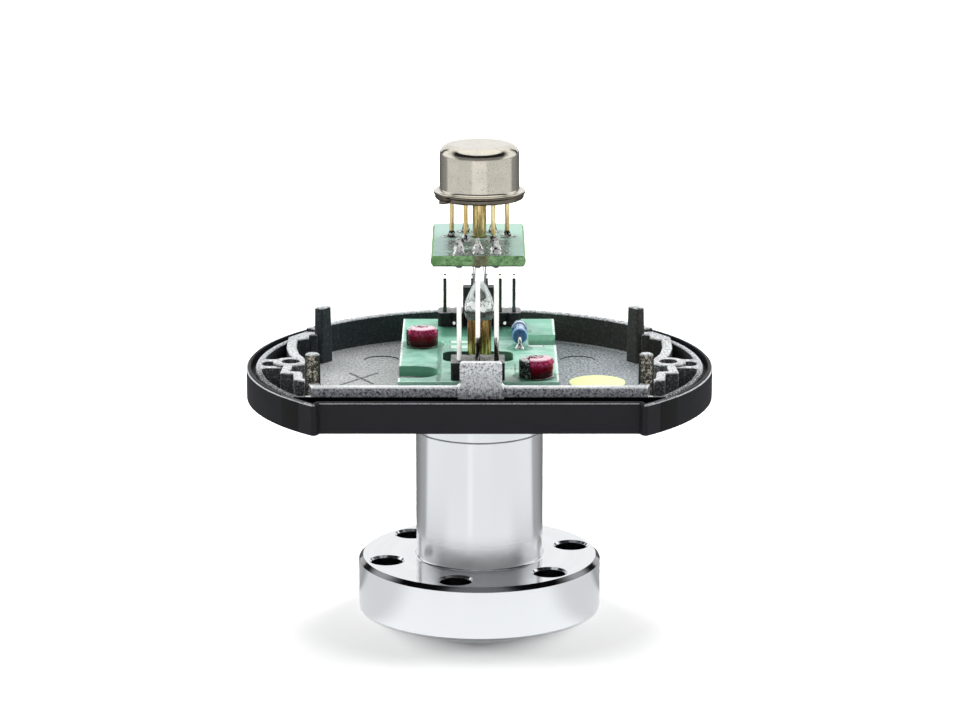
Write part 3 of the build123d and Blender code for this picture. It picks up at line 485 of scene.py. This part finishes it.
def nickelCan():
    # Bright nickel with soft clouds and scattered dark specks, darker under the lip with a black line at its foot.
    skin = Skin("nickel can")
    cloud, speck = skin.noise(1.6, 3.0, 0.5), skin.noise(0.16, 2.0, 0.6, shift=(4, 0, 2))
    colour = skin.coats(skin.mix(skin.ease(cloud, 0.3, 0.7), tone(206, 200, 186), tone(198, 193, 180)),
                        (skin.ease(speck, 0.62, 0.68) * 0.7, tone(84, 80, 72)),
                        (skin.ease(skin.z, can["lip"] - 0.03, can["lip"] - 0.15) * 0.9, tone(88, 79, 68)),
                        (skin.band(skin.z, can["foot"], 0.04, 0.03) * 0.9, tone(28, 24, 20)))
    return skin.done(colour, 0.13 + (cloud - 0.5) * 0.04, 1.0, skin.bump(speck, 0.004))


dress(moulding(), "plug_header", "riser_header", "jumper_cap")
dress(tinnedPins("tinned riser pins", riserTin), "riser_pins")
dress(tinnedPins("tinned plug pins", shadedPlugTin), "plug_header_pins")
dress(plain("tinned leads", tone(236, 236, 232), 0.18, 0.9, 0.5, 0.005), "resistor_leads")
dress(goldPlate("gold pins", tone(238, 222, 176), tone(204, 178, 116), 0.5, 0.16), "sensor_pins")
dress(goldPlate("gold sensor tube", tone(222, 202, 146), tone(166, 140, 84), 0.6, 0.1), "sensor_tube")
dress(goldPlate("gold inlet tube", tone(206, 176, 108), tone(120, 92, 44), 0.5, 0.07), "inlet_tube")
dress(plain("oxidised seal", tone(70, 76, 74), 0.4, 0.7), "isolator_seal")
dress(nickelCan(), "sensor_cap", "sensor_base")
dress(plain("bead glass", tone(90, 110, 100), 0.1), "pin_seals")
dress(plain("yellow paper", tone(253, 255, 190), 0.6, second=tone(250, 252, 176)), "floor_dot")

# Blown bulb: widest low down, a straight cone up to the neck, closed round the seal's cup at its foot
bulb = {"outside": ((41.5, 1.87), (42.0, 2.04), (42.5, 2.14), (43.0, 2.18), (43.4, 2.16), (43.9, 2.04),
                    (44.4, 1.86), (45.0, 1.58), (45.6, 1.29), (46.0, 1.12), (46.35, 1.01), (46.8, 0.97)),
        "cup": ((1.78, 42.9), (2.0, 42.9), (2.0, 42.43), (1.65, 41.5)), "wall": 0.2, "boreR": 0.5, "top": 52.16,
        "neck": (46.9, 46.2), "low": (43.0, 42.6), "blob": (0.1, 45.1), "glow": 0.3}


def clearGlass():
    # The bulb is painted pale with white patches as painted refracted light, and glows a little as painted light;
    # it has dark veins and one dark blob, and is dark green-grey at the foot.
    # Its outline and a second line within it are dark, as bent light leaves them. The neck is clear between its
    # lines.
    skin = Skin("blown glass")
    layer = skin.node("ShaderNodeLayerWeight", None, {"Blend": 0.5}, 1)
    fleck = skin.noise(1.3, 4.0, 0.65, (1, 1, 0.8), (0.4, 0.3, 0.2))
    body = skin.ease(skin.z, *bulb["neck"])
    low = skin.ease(skin.z + (fleck - 0.5) * 1.4, *bulb["low"])
    rim = skin.ease(layer + skin.ease(skin.z, 45.9, 46.6) * 0.22, 0.6, 0.7)
    line = skin.band(layer, 0.46, 0.03, 0.02)
    vein = skin.band(fleck, 0.5, 0.008, 0.012) * body * skin.ease(skin.z, 45.2, 44.6)
    # white patches: painted refracted light
    paintedRefraction = skin.ease(fleck, 0.5, 0.53) * body * skin.ease(skin.z, 44.9, 44.2)
    away = skin.length(skin.x - bulb["blob"][0], skin.z - bulb["blob"][1])
    blob = skin.ease(away * away + (fleck - 0.5) * 1.6, 0.8, 0.45)
    dark = rim | vein | line * 0.7 | blob * 0.85 | low * 0.93
    cover = body * 0.72 | paintedRefraction * 0.92 | dark * 0.85 | 0.05
    shade = skin.mix(dark, skin.mix(paintedRefraction, tone(222, 228, 226), (1, 1, 1)), tone(30, 37, 34))
    clear = skin.node("ShaderNodeBsdfTransparent", None, {"Color": tone(250, 252, 251)})
    # painted light: the cloudy part glows in its own colour
    cloudy = skin.node("ShaderNodeBsdfPrincipled", None, {
        "Base Color": shade, "Roughness": 0.1, "Emission Color": shade, "Emission Strength": bulb["glow"]})
    gloss = skin.node("ShaderNodeBsdfGlossy", None, {"Color": (1, 1, 1), "Roughness": 0.03})
    inner = skin.node("ShaderNodeMixShader", None, {0: cover & 0.9, 1: clear, 2: cloudy})
    return skin.shown(skin.node("ShaderNodeMixShader", None, {0: layer ** 5.0 * 0.7 + 0.03, 1: inner, 2: gloss}))


# Pieces worked out as surfaces, in millimetres until they become meshes


def shell(name, parts, material, replaced, angle=40.0):
    # Each part is a grid of points (rows, columns, 3) whose columns close into a ring. The first and last rows
    # are closed to their middle points, or joined to each other where the part is marked as a loop.
    points, faces, start = [], [], 0
    for grid, loop in parts:
        rows, columns = grid.shape[:2]
        points.append(grid.reshape(-1, 3))
        row = np.arange(rows if loop else rows - 1)[:, None]
        column = np.arange(columns)[None, :]
        after, above = (column + 1) % columns, (row + 1) % rows
        quads = np.stack(np.broadcast_arrays(row * columns + column, row * columns + after,
                                             above * columns + after, above * columns + column), -1)
        faces += (quads.reshape(-1, 4) + start).tolist()
        start += rows * columns
        if not loop:
            points.append(np.stack([grid[0].mean(0), grid[-1].mean(0)]))
            ring, step = np.arange(columns), (np.arange(columns) + 1) % columns
            base, last = start - rows * columns, start - columns
            faces += np.stack([ring * 0 + start, base + step, base + ring], -1).tolist()
            faces += np.stack([ring * 0 + start + 1, last + ring, last + step], -1).tolist()
            start += 2
    mesh = bpy.data.meshes.new(name)
    mesh.from_pydata((np.concatenate(points) * mm).tolist(), [], faces)
    mesh.polygons.foreach_set("use_smooth", np.ones(len(mesh.polygons), bool))
    mesh.set_sharp_from_angle(angle=math.radians(angle))
    mesh.materials.append(material)
    piece = bpy.data.objects.new(name, mesh)
    bpy.context.scene.collection.objects.link(piece)
    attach(piece, "root")
    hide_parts(*replaced)


def turned(radii, heights, at, columns=48):  # rings of the given radii and heights round an upright axis
    angle = np.linspace(0, 2 * np.pi, columns, endpoint=False)
    radii = np.broadcast_to(np.asarray(radii, float).reshape(len(heights), -1), (len(heights), columns))
    return np.stack([at[0] + radii * np.cos(angle), at[1] + radii * np.sin(angle),
                     np.broadcast_to(np.asarray(heights, float)[:, None], radii.shape)], -1)


# Socket-head screws with a knurled side
screw = {"foot": 29.3, "shankR": 1.25, "headR": 2.25, "headH": 2.4, "edge": 0.3, "seatIn": 0.2, "footBreak": 0.06,
         "plainTo": 0.16, "knurls": 38, "knurlDepth": 0.09, "socketHalf": 1.0, "socketDepth": 1.2, "mouth": 0.12,
         "cone": 0.15, "turns": (0.2, 0.75)}


def screwHead(at, turn):
    # Rings from the shank's foot up the knurled side, over the rounded edge and down into the six-sided socket.
    # Side: radius less knurlDepth times a cosine of the knurl count. Socket: half width over the cosine of the
    # angle from the nearest flat.
    columns = screw["knurls"] * 8
    angle = np.linspace(0, 2 * np.pi, columns, endpoint=False)
    knurl = (0.5 + 0.5 * np.cos(screw["knurls"] * angle)) ** 1.5 * screw["knurlDepth"]
    hexagon = screw["socketHalf"] / np.cos((angle + turn + np.pi / 6) % (np.pi / 3) - np.pi / 6)
    deck, r, edge = places["deck"], screw["headR"], screw["edge"]
    top, floor = deck + screw["headH"], deck + screw["headH"] - screw["socketDepth"]
    one = np.ones(columns)
    rows = [(one * screw["shankR"], screw["foot"]), (one * screw["shankR"], deck),
            (one * (r - screw["seatIn"]), deck), (one * (r - screw["footBreak"]), deck + screw["footBreak"]),
            (r - knurl, deck + screw["plainTo"]), (r - knurl, top - edge - 0.1)]
    rows += [(one * (r - edge + edge * math.cos(a)) - knurl * (1 - math.sin(a)) * 0.6,
              top - edge + edge * math.sin(a)) for a in np.linspace(0, np.pi / 2, 5)]
    rows += [(hexagon + screw["mouth"], top), (hexagon, top - screw["mouth"]), (hexagon, floor),
             (hexagon * 0.5, floor - screw["cone"])]
    return turned(np.stack([r for r, _ in rows]), [z for _, z in rows], at, columns)


def knurledSteel():
    # Dark with light flecks on the knurled side, as painted shade, and bright on top, as painted highlight.
    skin = Skin("knurled screw steel")
    grit = skin.noise(0.35, 4.0, 0.75)
    tops = skin.ease(skin.up(), 0.5, 0.85)
    side = skin.mix(skin.ease(grit, 0.5, 0.62), tone(36, 42, 40), tone(150, 158, 154))
    top = skin.mix(skin.ease(grit, 0.4, 0.6), tone(232, 234, 232), tone(92, 96, 94))
    return skin.done(skin.mix(tops, side, top), 0.3 + grit * 0.1, 0.5, skin.bump(grit, 0.03))


shell("boardScrews", [(screwHead(at, turn), False) for at, turn in zip(places["screws"], screw["turns"])],
      knurledSteel(), ["board_screws"], 30.0)

# Varnish brushed over each head: a glossy skin that fills the front of the socket and runs down the side
varnish = {"thick": 0.2, "least": 0.09, "sink": 0.12, "columns": 144, "soft": 0.14, "bead": 0.1,
           "beadAt": (0.84, 0.1), "cover": ((-1.66, 1.8, 1.0), (-0.95, 2.6, 1.6)), "sides": ((-87.0, 60.0), (-52.0, 62.0)),
           "hem": (0.35, 0.02, 0.3), "pool": (0.12, 1.1), "hole": (1.14, 0.05), "seeds": (3, 8)}


def varnishSkin(at, cover, side, seed):
    # Rings go up the side and over the top to the middle. Each point is the head's own surface moved out by the
    # varnish's thickness, which sinks below the metal where the head is bare.
    draw = np.random.default_rng(seed)
    angle = np.linspace(0, 2 * np.pi, varnish["columns"], endpoint=False)[None, :]
    r, edge, deck = screw["headR"], screw["edge"], places["deck"]
    top = deck + screw["headH"]
    spread, lift, lean = varnish["hem"]
    path = [(r + spread * (1 - t), deck + lift, lean * t, 1.0) for t in np.linspace(0, 1, 4)]
    path += [(r, deck + h, 1.0, 0.0) for h in np.linspace(0.05, screw["headH"] - edge, 14)]
    path += [(r - edge + edge * math.cos(a), top - edge + edge * math.sin(a), math.cos(a), math.sin(a))
             for a in np.linspace(0, np.pi / 2, 7)]
    path += [(q, top, 0.0, 1.0) for q in np.linspace(r - edge, 0.04, 18)[1:]]
    path = np.array(path)
    radius, height, out, up = (path[:, i][:, None] for i in range(4))
    x, y = radius * np.cos(angle), radius * np.sin(angle)
    waves = sum(draw.uniform(0.4, 1.0) / k * np.sin(
        k * angle + draw.uniform(0, 6.3) + height * draw.uniform(-2, 2)) for k in range(2, 8))
    waves = waves / np.abs(waves).max()
    middle, half = side
    off = np.abs((np.degrees(angle) - middle + 180) % 360 - 180)
    level = (height - deck) / screw["headH"]
    onSide = np.clip((half + waves * 7 - off - 12 * (1 - level)) / 7, 0, 1)
    left, right, back = cover
    across = (x - (left + right) / 2) / (right - left) * 2
    far = back - 0.9 * across * across - y + waves * 0.1
    near = np.minimum(x - left, right - x) + waves * 0.08
    onTop = np.clip(far / varnish["soft"], 0, 1) * np.clip(near / varnish["soft"], 0, 1)
    flat = np.clip((up - 0.2) / 0.6, 0, 1) * (height > deck + 0.5)
    wet = onSide * (1 - flat) + onTop * flat
    wet = wet * wet * (3 - 2 * wet)
    beadAt, beadHalf = varnish["beadAt"]
    bead = varnish["bead"] * np.exp(-((level - beadAt) / beadHalf) ** 2) * (1 - flat)
    thick = varnish["thick"] * (1 + 0.25 * waves) + bead
    thick = np.maximum(thick - varnish["thick"] * 0.5 * np.clip((0.5 - level) / 0.5, 0, 1), varnish["least"])
    poolDepth, poolR = varnish["pool"]
    holeR, holeWall = varnish["hole"]
    pool = poolDepth * np.clip(1 - (radius / poolR) ** 2, 0, 1) * flat
    bare = varnish["sink"] + (screw["socketDepth"] + 0.25) * np.clip((holeR - radius) / holeWall, 0, 1) * flat
    offset = wet * (thick - pool) - (1 - wet) * bare
    radius = radius + out * offset
    return np.stack([at[0] + radius * np.cos(angle), at[1] + radius * np.sin(angle),
                     np.broadcast_to(height, radius.shape) + up * offset], -1)


def crimson():
    # Almost black at the foot and crimson half way, with pink under the edge and pale on top as painted highlights;
    # dark threads lie in the back half of the socket.
    skin = Skin("crimson varnish")
    grit, swirl = skin.noise(0.5, 3.0, 0.6), skin.noise(0.3, 3.0, 0.7, shift=(1, 4, 0))
    level = (skin.z - places["deck"]) / screw["headH"] + (grit - 0.5) * 0.25
    streak = skin.ease(swirl, 0.44, 0.58)
    top = skin.ease(skin.up(), 0.8, 0.97)
    # painted highlights: pink under the edge, pale on top
    coats = [(skin.ease(level, 0.62, 0.86) * (0.2 + streak * 0.8), tone(214, 70, 128)),
             (top * 0.85, tone(238, 196, 210))]
    for x, y in places["screws"]:
        threads = skin.ease(swirl, 0.46, 0.5) * skin.near(x, y + 0.6, 1.0, 0.25) * top
        coats.append((threads * skin.ease(skin.y, y - 0.3, y + 0.1), tone(12, 4, 6)))
    colour = skin.coats(skin.mix(skin.ease(level, 0.15, 0.7), tone(46, 3, 6), tone(122, 4, 32)), *coats)
    return skin.done(colour, 0.1, 0.0, skin.bump(grit, 0.06), Specular_IOR_Level=0.2)


shell("screwVarnish", [(varnishSkin(at, cover, side, seed), False) for at, cover, side, seed in zip(
    places["screws"], varnish["cover"], varnish["sides"], varnish["seeds"])], crimson(),
      ["screw_varnish"], 80.0)

# Solder fillets: hollow cones that climb the pins; each kind gives its height, foot radius and core radius
solder = {"onTop": (0.95, 0.8, 0.32), "under": (0.42, 0.66, 0.32), "onCan": (1.0, 0.66, 0.3),
          "onLead": (0.62, 0.72, 0.27), "hollow": 1.7, "rise": 0.9, "over": 0.04, "seed": 21}


def fillet(at, foot, kind, square, draw, down=False):
    # Outer radius: core plus the foot's spare width times (1 - t) to a power, t being the share of the height.
    # Inner wall: the pin's own outline, round or square.
    tall, footR, core = kind
    columns, steps, over = 40, 12, solder["over"]
    angle = np.linspace(0, 2 * np.pi, columns, endpoint=False)[None, :]
    t = np.linspace(0, 1, steps)[:, None]
    pin = core / np.maximum(np.abs(np.cos(angle)), np.abs(np.sin(angle))) if square else core + angle * 0
    tip = core * (1.15 if square else 1.0) + over
    lean = 1 + draw.uniform(0.03, 0.12) * np.cos(angle + draw.uniform(0, 6.3)) + draw.uniform(
        0.02, 0.07) * np.sin(3 * angle + draw.uniform(0, 6.3))
    outer = tip + (footR - tip) * (1 - t) ** solder["hollow"] * lean + over * np.sin(np.pi * t) * lean
    outer = np.maximum(outer, pin + 0.02 * (1 - t))
    heights = foot + (-1 if down else 1) * tall * draw.uniform(0.85, 1.15) * t ** solder["rise"]
    grid = np.concatenate([np.stack([at[0] + w * np.cos(angle), at[1] + w * np.sin(angle),
                                     np.broadcast_to(heights, w.shape)], -1)[::d]
                           for w, d in ((outer, 1), (np.broadcast_to(pin - 0.01, outer.shape), -1))])
    return grid[::-1] if down else grid


def solderMetal(name, level):
    # Bright tin with dark flux in the hollows, where noise over the level is dark; all under the sensor board is
    # painted dark as shade.
    skin = Skin(name)
    grit = skin.noise(0.55, 3.0, 0.7)
    # painted shade under the sensor board
    below = skin.band(skin.z, places["smallUnder"] - 0.36, 0.3, 0.05)
    flux = skin.ease(grit, level, level + 0.04) | (below * 0.9)
    colour = skin.mix(flux, tone(252, 253, 252), tone(22, 24, 20))
    return skin.done(colour, 0.2, 0.5 * (1 - flux), skin.bump(grit, 0.12))


chance = np.random.default_rng(solder["seed"])
solderSkin = solderMetal("solder", 0.53)
onTop = [(fillet(at, places["smallDeck"], solder["onTop"], True, chance), True) for at in places["risers"]]
under = [(fillet(at, places["smallUnder"], solder["under"], True, chance, True), True) for at in places["risers"]]
shell("riserSolder", onTop + under, solderSkin, ["riser_solder"])
onCan = [(fillet(at, places["smallDeck"], solder["onCan"], False, chance), True) for at in places["canPins"]]
shell("sensorSolder", onCan, solderMetal("solder with flux", 0.47), ["sensor_solder"])
onLead = [(fillet(at, places["deck"], solder["onLead"], False, chance), True) for at in places["leads"]]
shell("resistorSolder", onLead, solderSkin, ["resistor_solder"])


def bulbForm():
    # Outside radius by height, eased through the listed points; the inside is the wall's thickness less.
    low, radii = np.array(bulb["outside"]).T
    heights = np.linspace(low[0], low[-1], 60)
    outer = np.interp(heights, low, radii)
    outer[1:-1] = (outer[:-2] + 2 * outer[1:-1] + outer[2:]) / 4
    inner = heights[heights > bulb["cup"][0][1] + 0.05][::-1]
    rows = list(zip(outer, heights)) + [(radii[-1], bulb["top"]), (bulb["boreR"], bulb["top"])]
    rows += [(max(np.interp(h, heights, outer) - bulb["wall"], bulb["boreR"]), h) for h in inner]
    rows += bulb["cup"]
    return turned([r for r, _ in rows], [h for _, h in rows], (0, 0), 72)


shell("glassIsolator", [(bulbForm(), True)], clearGlass(), ["glass_isolator"], 50.0)


def canForm():
    # Straight lines joined by quarter rounds, from the lip's underside up to the flat top.
    quarter = [(1 - math.cos(a), 1 - math.sin(a)) for a in np.linspace(0, np.pi / 2, 9)]
    r, lip, top, lipR, bend = can["r"], can["lip"], can["top"], can["lipR"], can["shoulder"]
    rows = [(lipR - can["lipBreak"], can["foot"]), (lipR, can["foot"] + can["lipBreak"])]
    rows += [(lipR - can["lipRound"] * out, lip - can["lipRound"] * up) for out, up in quarter]
    rows += [(r + can["footRound"] * up, lip + can["footRound"] * out) for out, up in quarter]
    rows += [(r, lip + can["wallStart"]), (r, top - bend - can["inset"])]
    rows += [(r - bend * out, top - bend * up) for out, up in quarter]
    rows.append((r - bend - can["inset"], top))
    return turned([q for q, _ in rows], [h for _, h in rows], (0, 0), 128)


shell("sensorCap", [(canForm(), False)], nodes["sensor_cap"].data.materials[0], ["sensor_cap"], 50.0)

# Resistor: two rounded end caps and a waist under one coat of lacquer
resistor = {"x": 5.7, "y": 11.35, "z": 36.86, "half": 3.15, "capR": 1.1, "waistR": 0.86, "capL": 1.75, "slope": 0.7,
            "endL": 0.55, "endFlat": 0.93,
            "bands": ((-0.95, 0.2, tone(34, 66, 108)), (0.15, 0.22, tone(26, 54, 94)),
                      (1.3, 0.2, tone(40, 76, 120)), (2.35, 0.2, tone(52, 92, 138)))}


def resistorForm():
    # Radius along the axis: cap and waist radii blended by a smooth step, closed by a quarter round at each end.
    along = resistor["half"] * np.sin(np.linspace(-1, 1, 81) * np.pi / 2)
    inward = np.abs(along) - (resistor["half"] - resistor["capL"])
    share = np.clip(inward / resistor["slope"] + 0.5, 0, 1)
    radius = resistor["waistR"] + (resistor["capR"] - resistor["waistR"]) * share * share * (3 - 2 * share)
    end = np.clip((resistor["half"] - np.abs(along)) / resistor["endL"], 0, 1)
    radius = (radius * np.sqrt(1 - (1 - end) ** 2 * resistor["endFlat"]))[:, None]
    angle = np.linspace(0, 2 * np.pi, 64, endpoint=False)
    ring = radius * np.sin(angle)
    return np.stack([resistor["x"] + ring, np.broadcast_to(resistor["y"] + along[:, None], ring.shape),
                     resistor["z"] + radius * np.cos(angle)], -1)


def blueLacquer():
    # Deep blue near end, pale far end and dark bands between.
    skin = Skin("blue lacquer with bands")
    along = skin.y - resistor["y"]
    cloud = skin.noise(0.7, 3.0, 0.5)
    bands = [(skin.band(along, middle, half, 0.05), colour) for middle, half, colour in resistor["bands"]]
    colour = skin.coats(skin.mix(skin.ease(cloud, 0.4, 0.6), tone(112, 162, 206), tone(94, 146, 196)),
                        (skin.ease(along, -1.9, -1.2), tone(150, 192, 222)),
                        (skin.ease(along, 0.4, 1.2), tone(176, 206, 226)), *bands,
                        (skin.ease(along, -2.8, -2.98), tone(62, 112, 166)))
    return skin.done(colour, 0.16, 0.0, skin.bump(cloud, 0.03), Coat_Weight=0.5, Coat_Roughness=0.1)


shell("resistorBody", [(resistorForm(), False)], blueLacquer(), ["resistor_body"], 60.0)
print("gauge: surfaces and finishes done")

# Studio
studio = {"lens": 131.59, "sensor": 36.0, "camera": (0.00008, -0.47484, 0.15160), "tilt": 76.2588, "sky": 0.1,
          "floor": tone(252, 252, 252), "floorHalf": 4.0, "glow": 0.17, "glowFrom": (25.0, 34.0), "card": 1.24,
          "cardHalf": 1.0, "cardLift": 0.0003, "streak": (-0.27, 0.05), "tent": 1.5, "tentHalf": 3.0}


def square(half, height):
    return [(-half, -half, height), (half, -half, height), (half, half, height), (-half, half, height)]


def stagePiece(name, corners, material, seen=True, sides=((0, 1, 2, 3),)):
    mesh = bpy.data.meshes.new(name)
    mesh.from_pydata(corners, [], sides)
    mesh.materials.append(material)
    piece = bpy.data.objects.new(name, mesh)
    bpy.context.scene.collection.objects.link(piece)
    if not seen:  # only polished surfaces see it
        piece.visible_camera = piece.visible_diffuse = piece.visible_shadow = piece.visible_transmission = False


def softbox(name, place, aim, size, watts, glossy=True):
    lamp = bpy.data.lights.new(name, "AREA")
    lamp.shape, lamp.size, lamp.size_y, lamp.energy = "RECTANGLE", size[0], size[1], watts
    lamp = bpy.data.objects.new(name, lamp)
    bpy.context.scene.collection.objects.link(lamp)
    line = [b - a for a, b in zip(place, aim)]
    flat = math.hypot(line[0], line[1])
    lamp.location = place
    lamp.rotation_euler = (math.atan2(flat, -line[2]), 0, math.atan2(-line[0], line[1]) if flat > 1e-6 else 0)
    lamp.visible_glossy = glossy


def cardLight():
    # What polished metal sees of the floor, by direction round the gauge: bright in front with one thin streak and
    # one dimmer band, dark at the sides towards the back, and softly shaded close to the flange.
    skin = Skin("reflection card")
    angle, reach = skin.x.calc("ARCTAN2", skin.x, -skin.y), skin.reach()
    aside = abs(angle)
    away = skin.ease(reach, 110.0, 200.0)
    light = 1.0 - away * 0.23 + skin.band(angle, 0.0, 0.34, 0.06) * away * 0.2
    light = light * (1 - 0.12 * skin.band(reach, 80.0, 22.0, 25.0))
    light = light + skin.band(angle, *studio["streak"], 0.03) * skin.ease(reach, 25.0, 45.0) * (0.55 - away * 0.5)
    light = light * (1 - 0.8 * skin.ease(aside, 1.76, 1.92) * (0.7 + 0.3 * skin.ease(aside, 1.9, 2.7)))
    light = light * (1 - 0.3 * skin.band(aside, 1.5, 0.3, 0.4) * skin.ease(reach, 62.0, 40.0))
    return skin.shining(light, (0.97, 0.985, 1.0), studio["card"])


def tentLight():
    # What polished metal sees above the floor, by direction: bright overhead, behind and at both sides, dark in
    # front and dim below that.
    skin = Skin("reflection tent")
    rise = skin.z.calc("ARCTAN2", skin.z, skin.reach())
    off = abs(skin.x.calc("ARCTAN2", skin.x, -skin.y))
    aside = skin.ease(off - rise * 1.2, 0.75, 1.4) * (skin.ease(off, 2.42, 2.22) | skin.ease(rise, 0.5, 0.62))
    dim = skin.ease(rise, 0.45, 0.34) * skin.ease(off, 2.0, 1.7)
    light = skin.ease(rise, 0.84, 0.98) | (aside * 0.9) | (dim * 0.19 + 0.012)
    return skin.shining(light, (0.98, 0.99, 1.0), studio["tent"])


def paleFloor():
    # White, lifted a little by a faint glow away from the flange, so that only the shadow at its foot shows.
    skin = Skin("studio floor")
    glow = skin.mix(skin.ease(skin.reach(), *studio["glowFrom"]), (0, 0, 0), (1, 1, 1))
    return skin.done(studio["floor"], 0.8, Specular_IOR_Level=0.0, Emission_Color=glow,
                     Emission_Strength=studio["glow"])


stagePiece("studioFloor", square(studio["floorHalf"], 0), paleFloor())
stagePiece("reflectionCard", square(studio["cardHalf"], studio["cardLift"]), cardLight(), False)
stagePiece("reflectionTent", square(studio["tentHalf"], 0.0) + square(studio["tentHalf"], studio["tentHalf"]),
           tentLight(), False, ((0, 1, 5, 4), (1, 2, 6, 5), (2, 3, 7, 6), (3, 0, 4, 7), (4, 5, 6, 7)))

world = bpy.data.worlds.new("studio sky")
bpy.context.scene.world = world
world.use_nodes = True
sky = world.node_tree.nodes["Background"]
sky.inputs["Color"].default_value = (0.93, 0.96, 1.0, 1.0)
sky.inputs["Strength"].default_value = studio["sky"]
softbox("topSoftbox", (0.05, 0.42, 0.8), (0, 0, 0.02), (1.1, 0.7), 2.5, False)
softbox("backSoftbox", (0, 1.3, 0.45), (0, 0, 0.05), (1.8, 0.8), 5.0)
for side in (-1, 1):
    softbox(f"sideSoftbox{side + 1}", (side * 0.65, 0.67, 0.42), (0, 0, 0.02), (0.7, 0.55), 17.0, False)
softbox("frontFill", (0, -1.4, 0.5), (0, 0, 0.04), (1.6, 0.6), 4.5, False)

lens = bpy.data.cameras.new("camera")
lens.lens, lens.sensor_width, lens.clip_start, lens.clip_end = studio["lens"], studio["sensor"], 0.01, 20.0
camera = bpy.data.objects.new("camera", lens)
bpy.context.scene.collection.objects.link(camera)
camera.location = studio["camera"]
camera.rotation_euler = (math.radians(studio["tilt"]), 0, 0)
bpy.context.scene.camera = camera
bpy.context.scene.view_settings.view_transform = "Standard"
print("gauge: studio done")
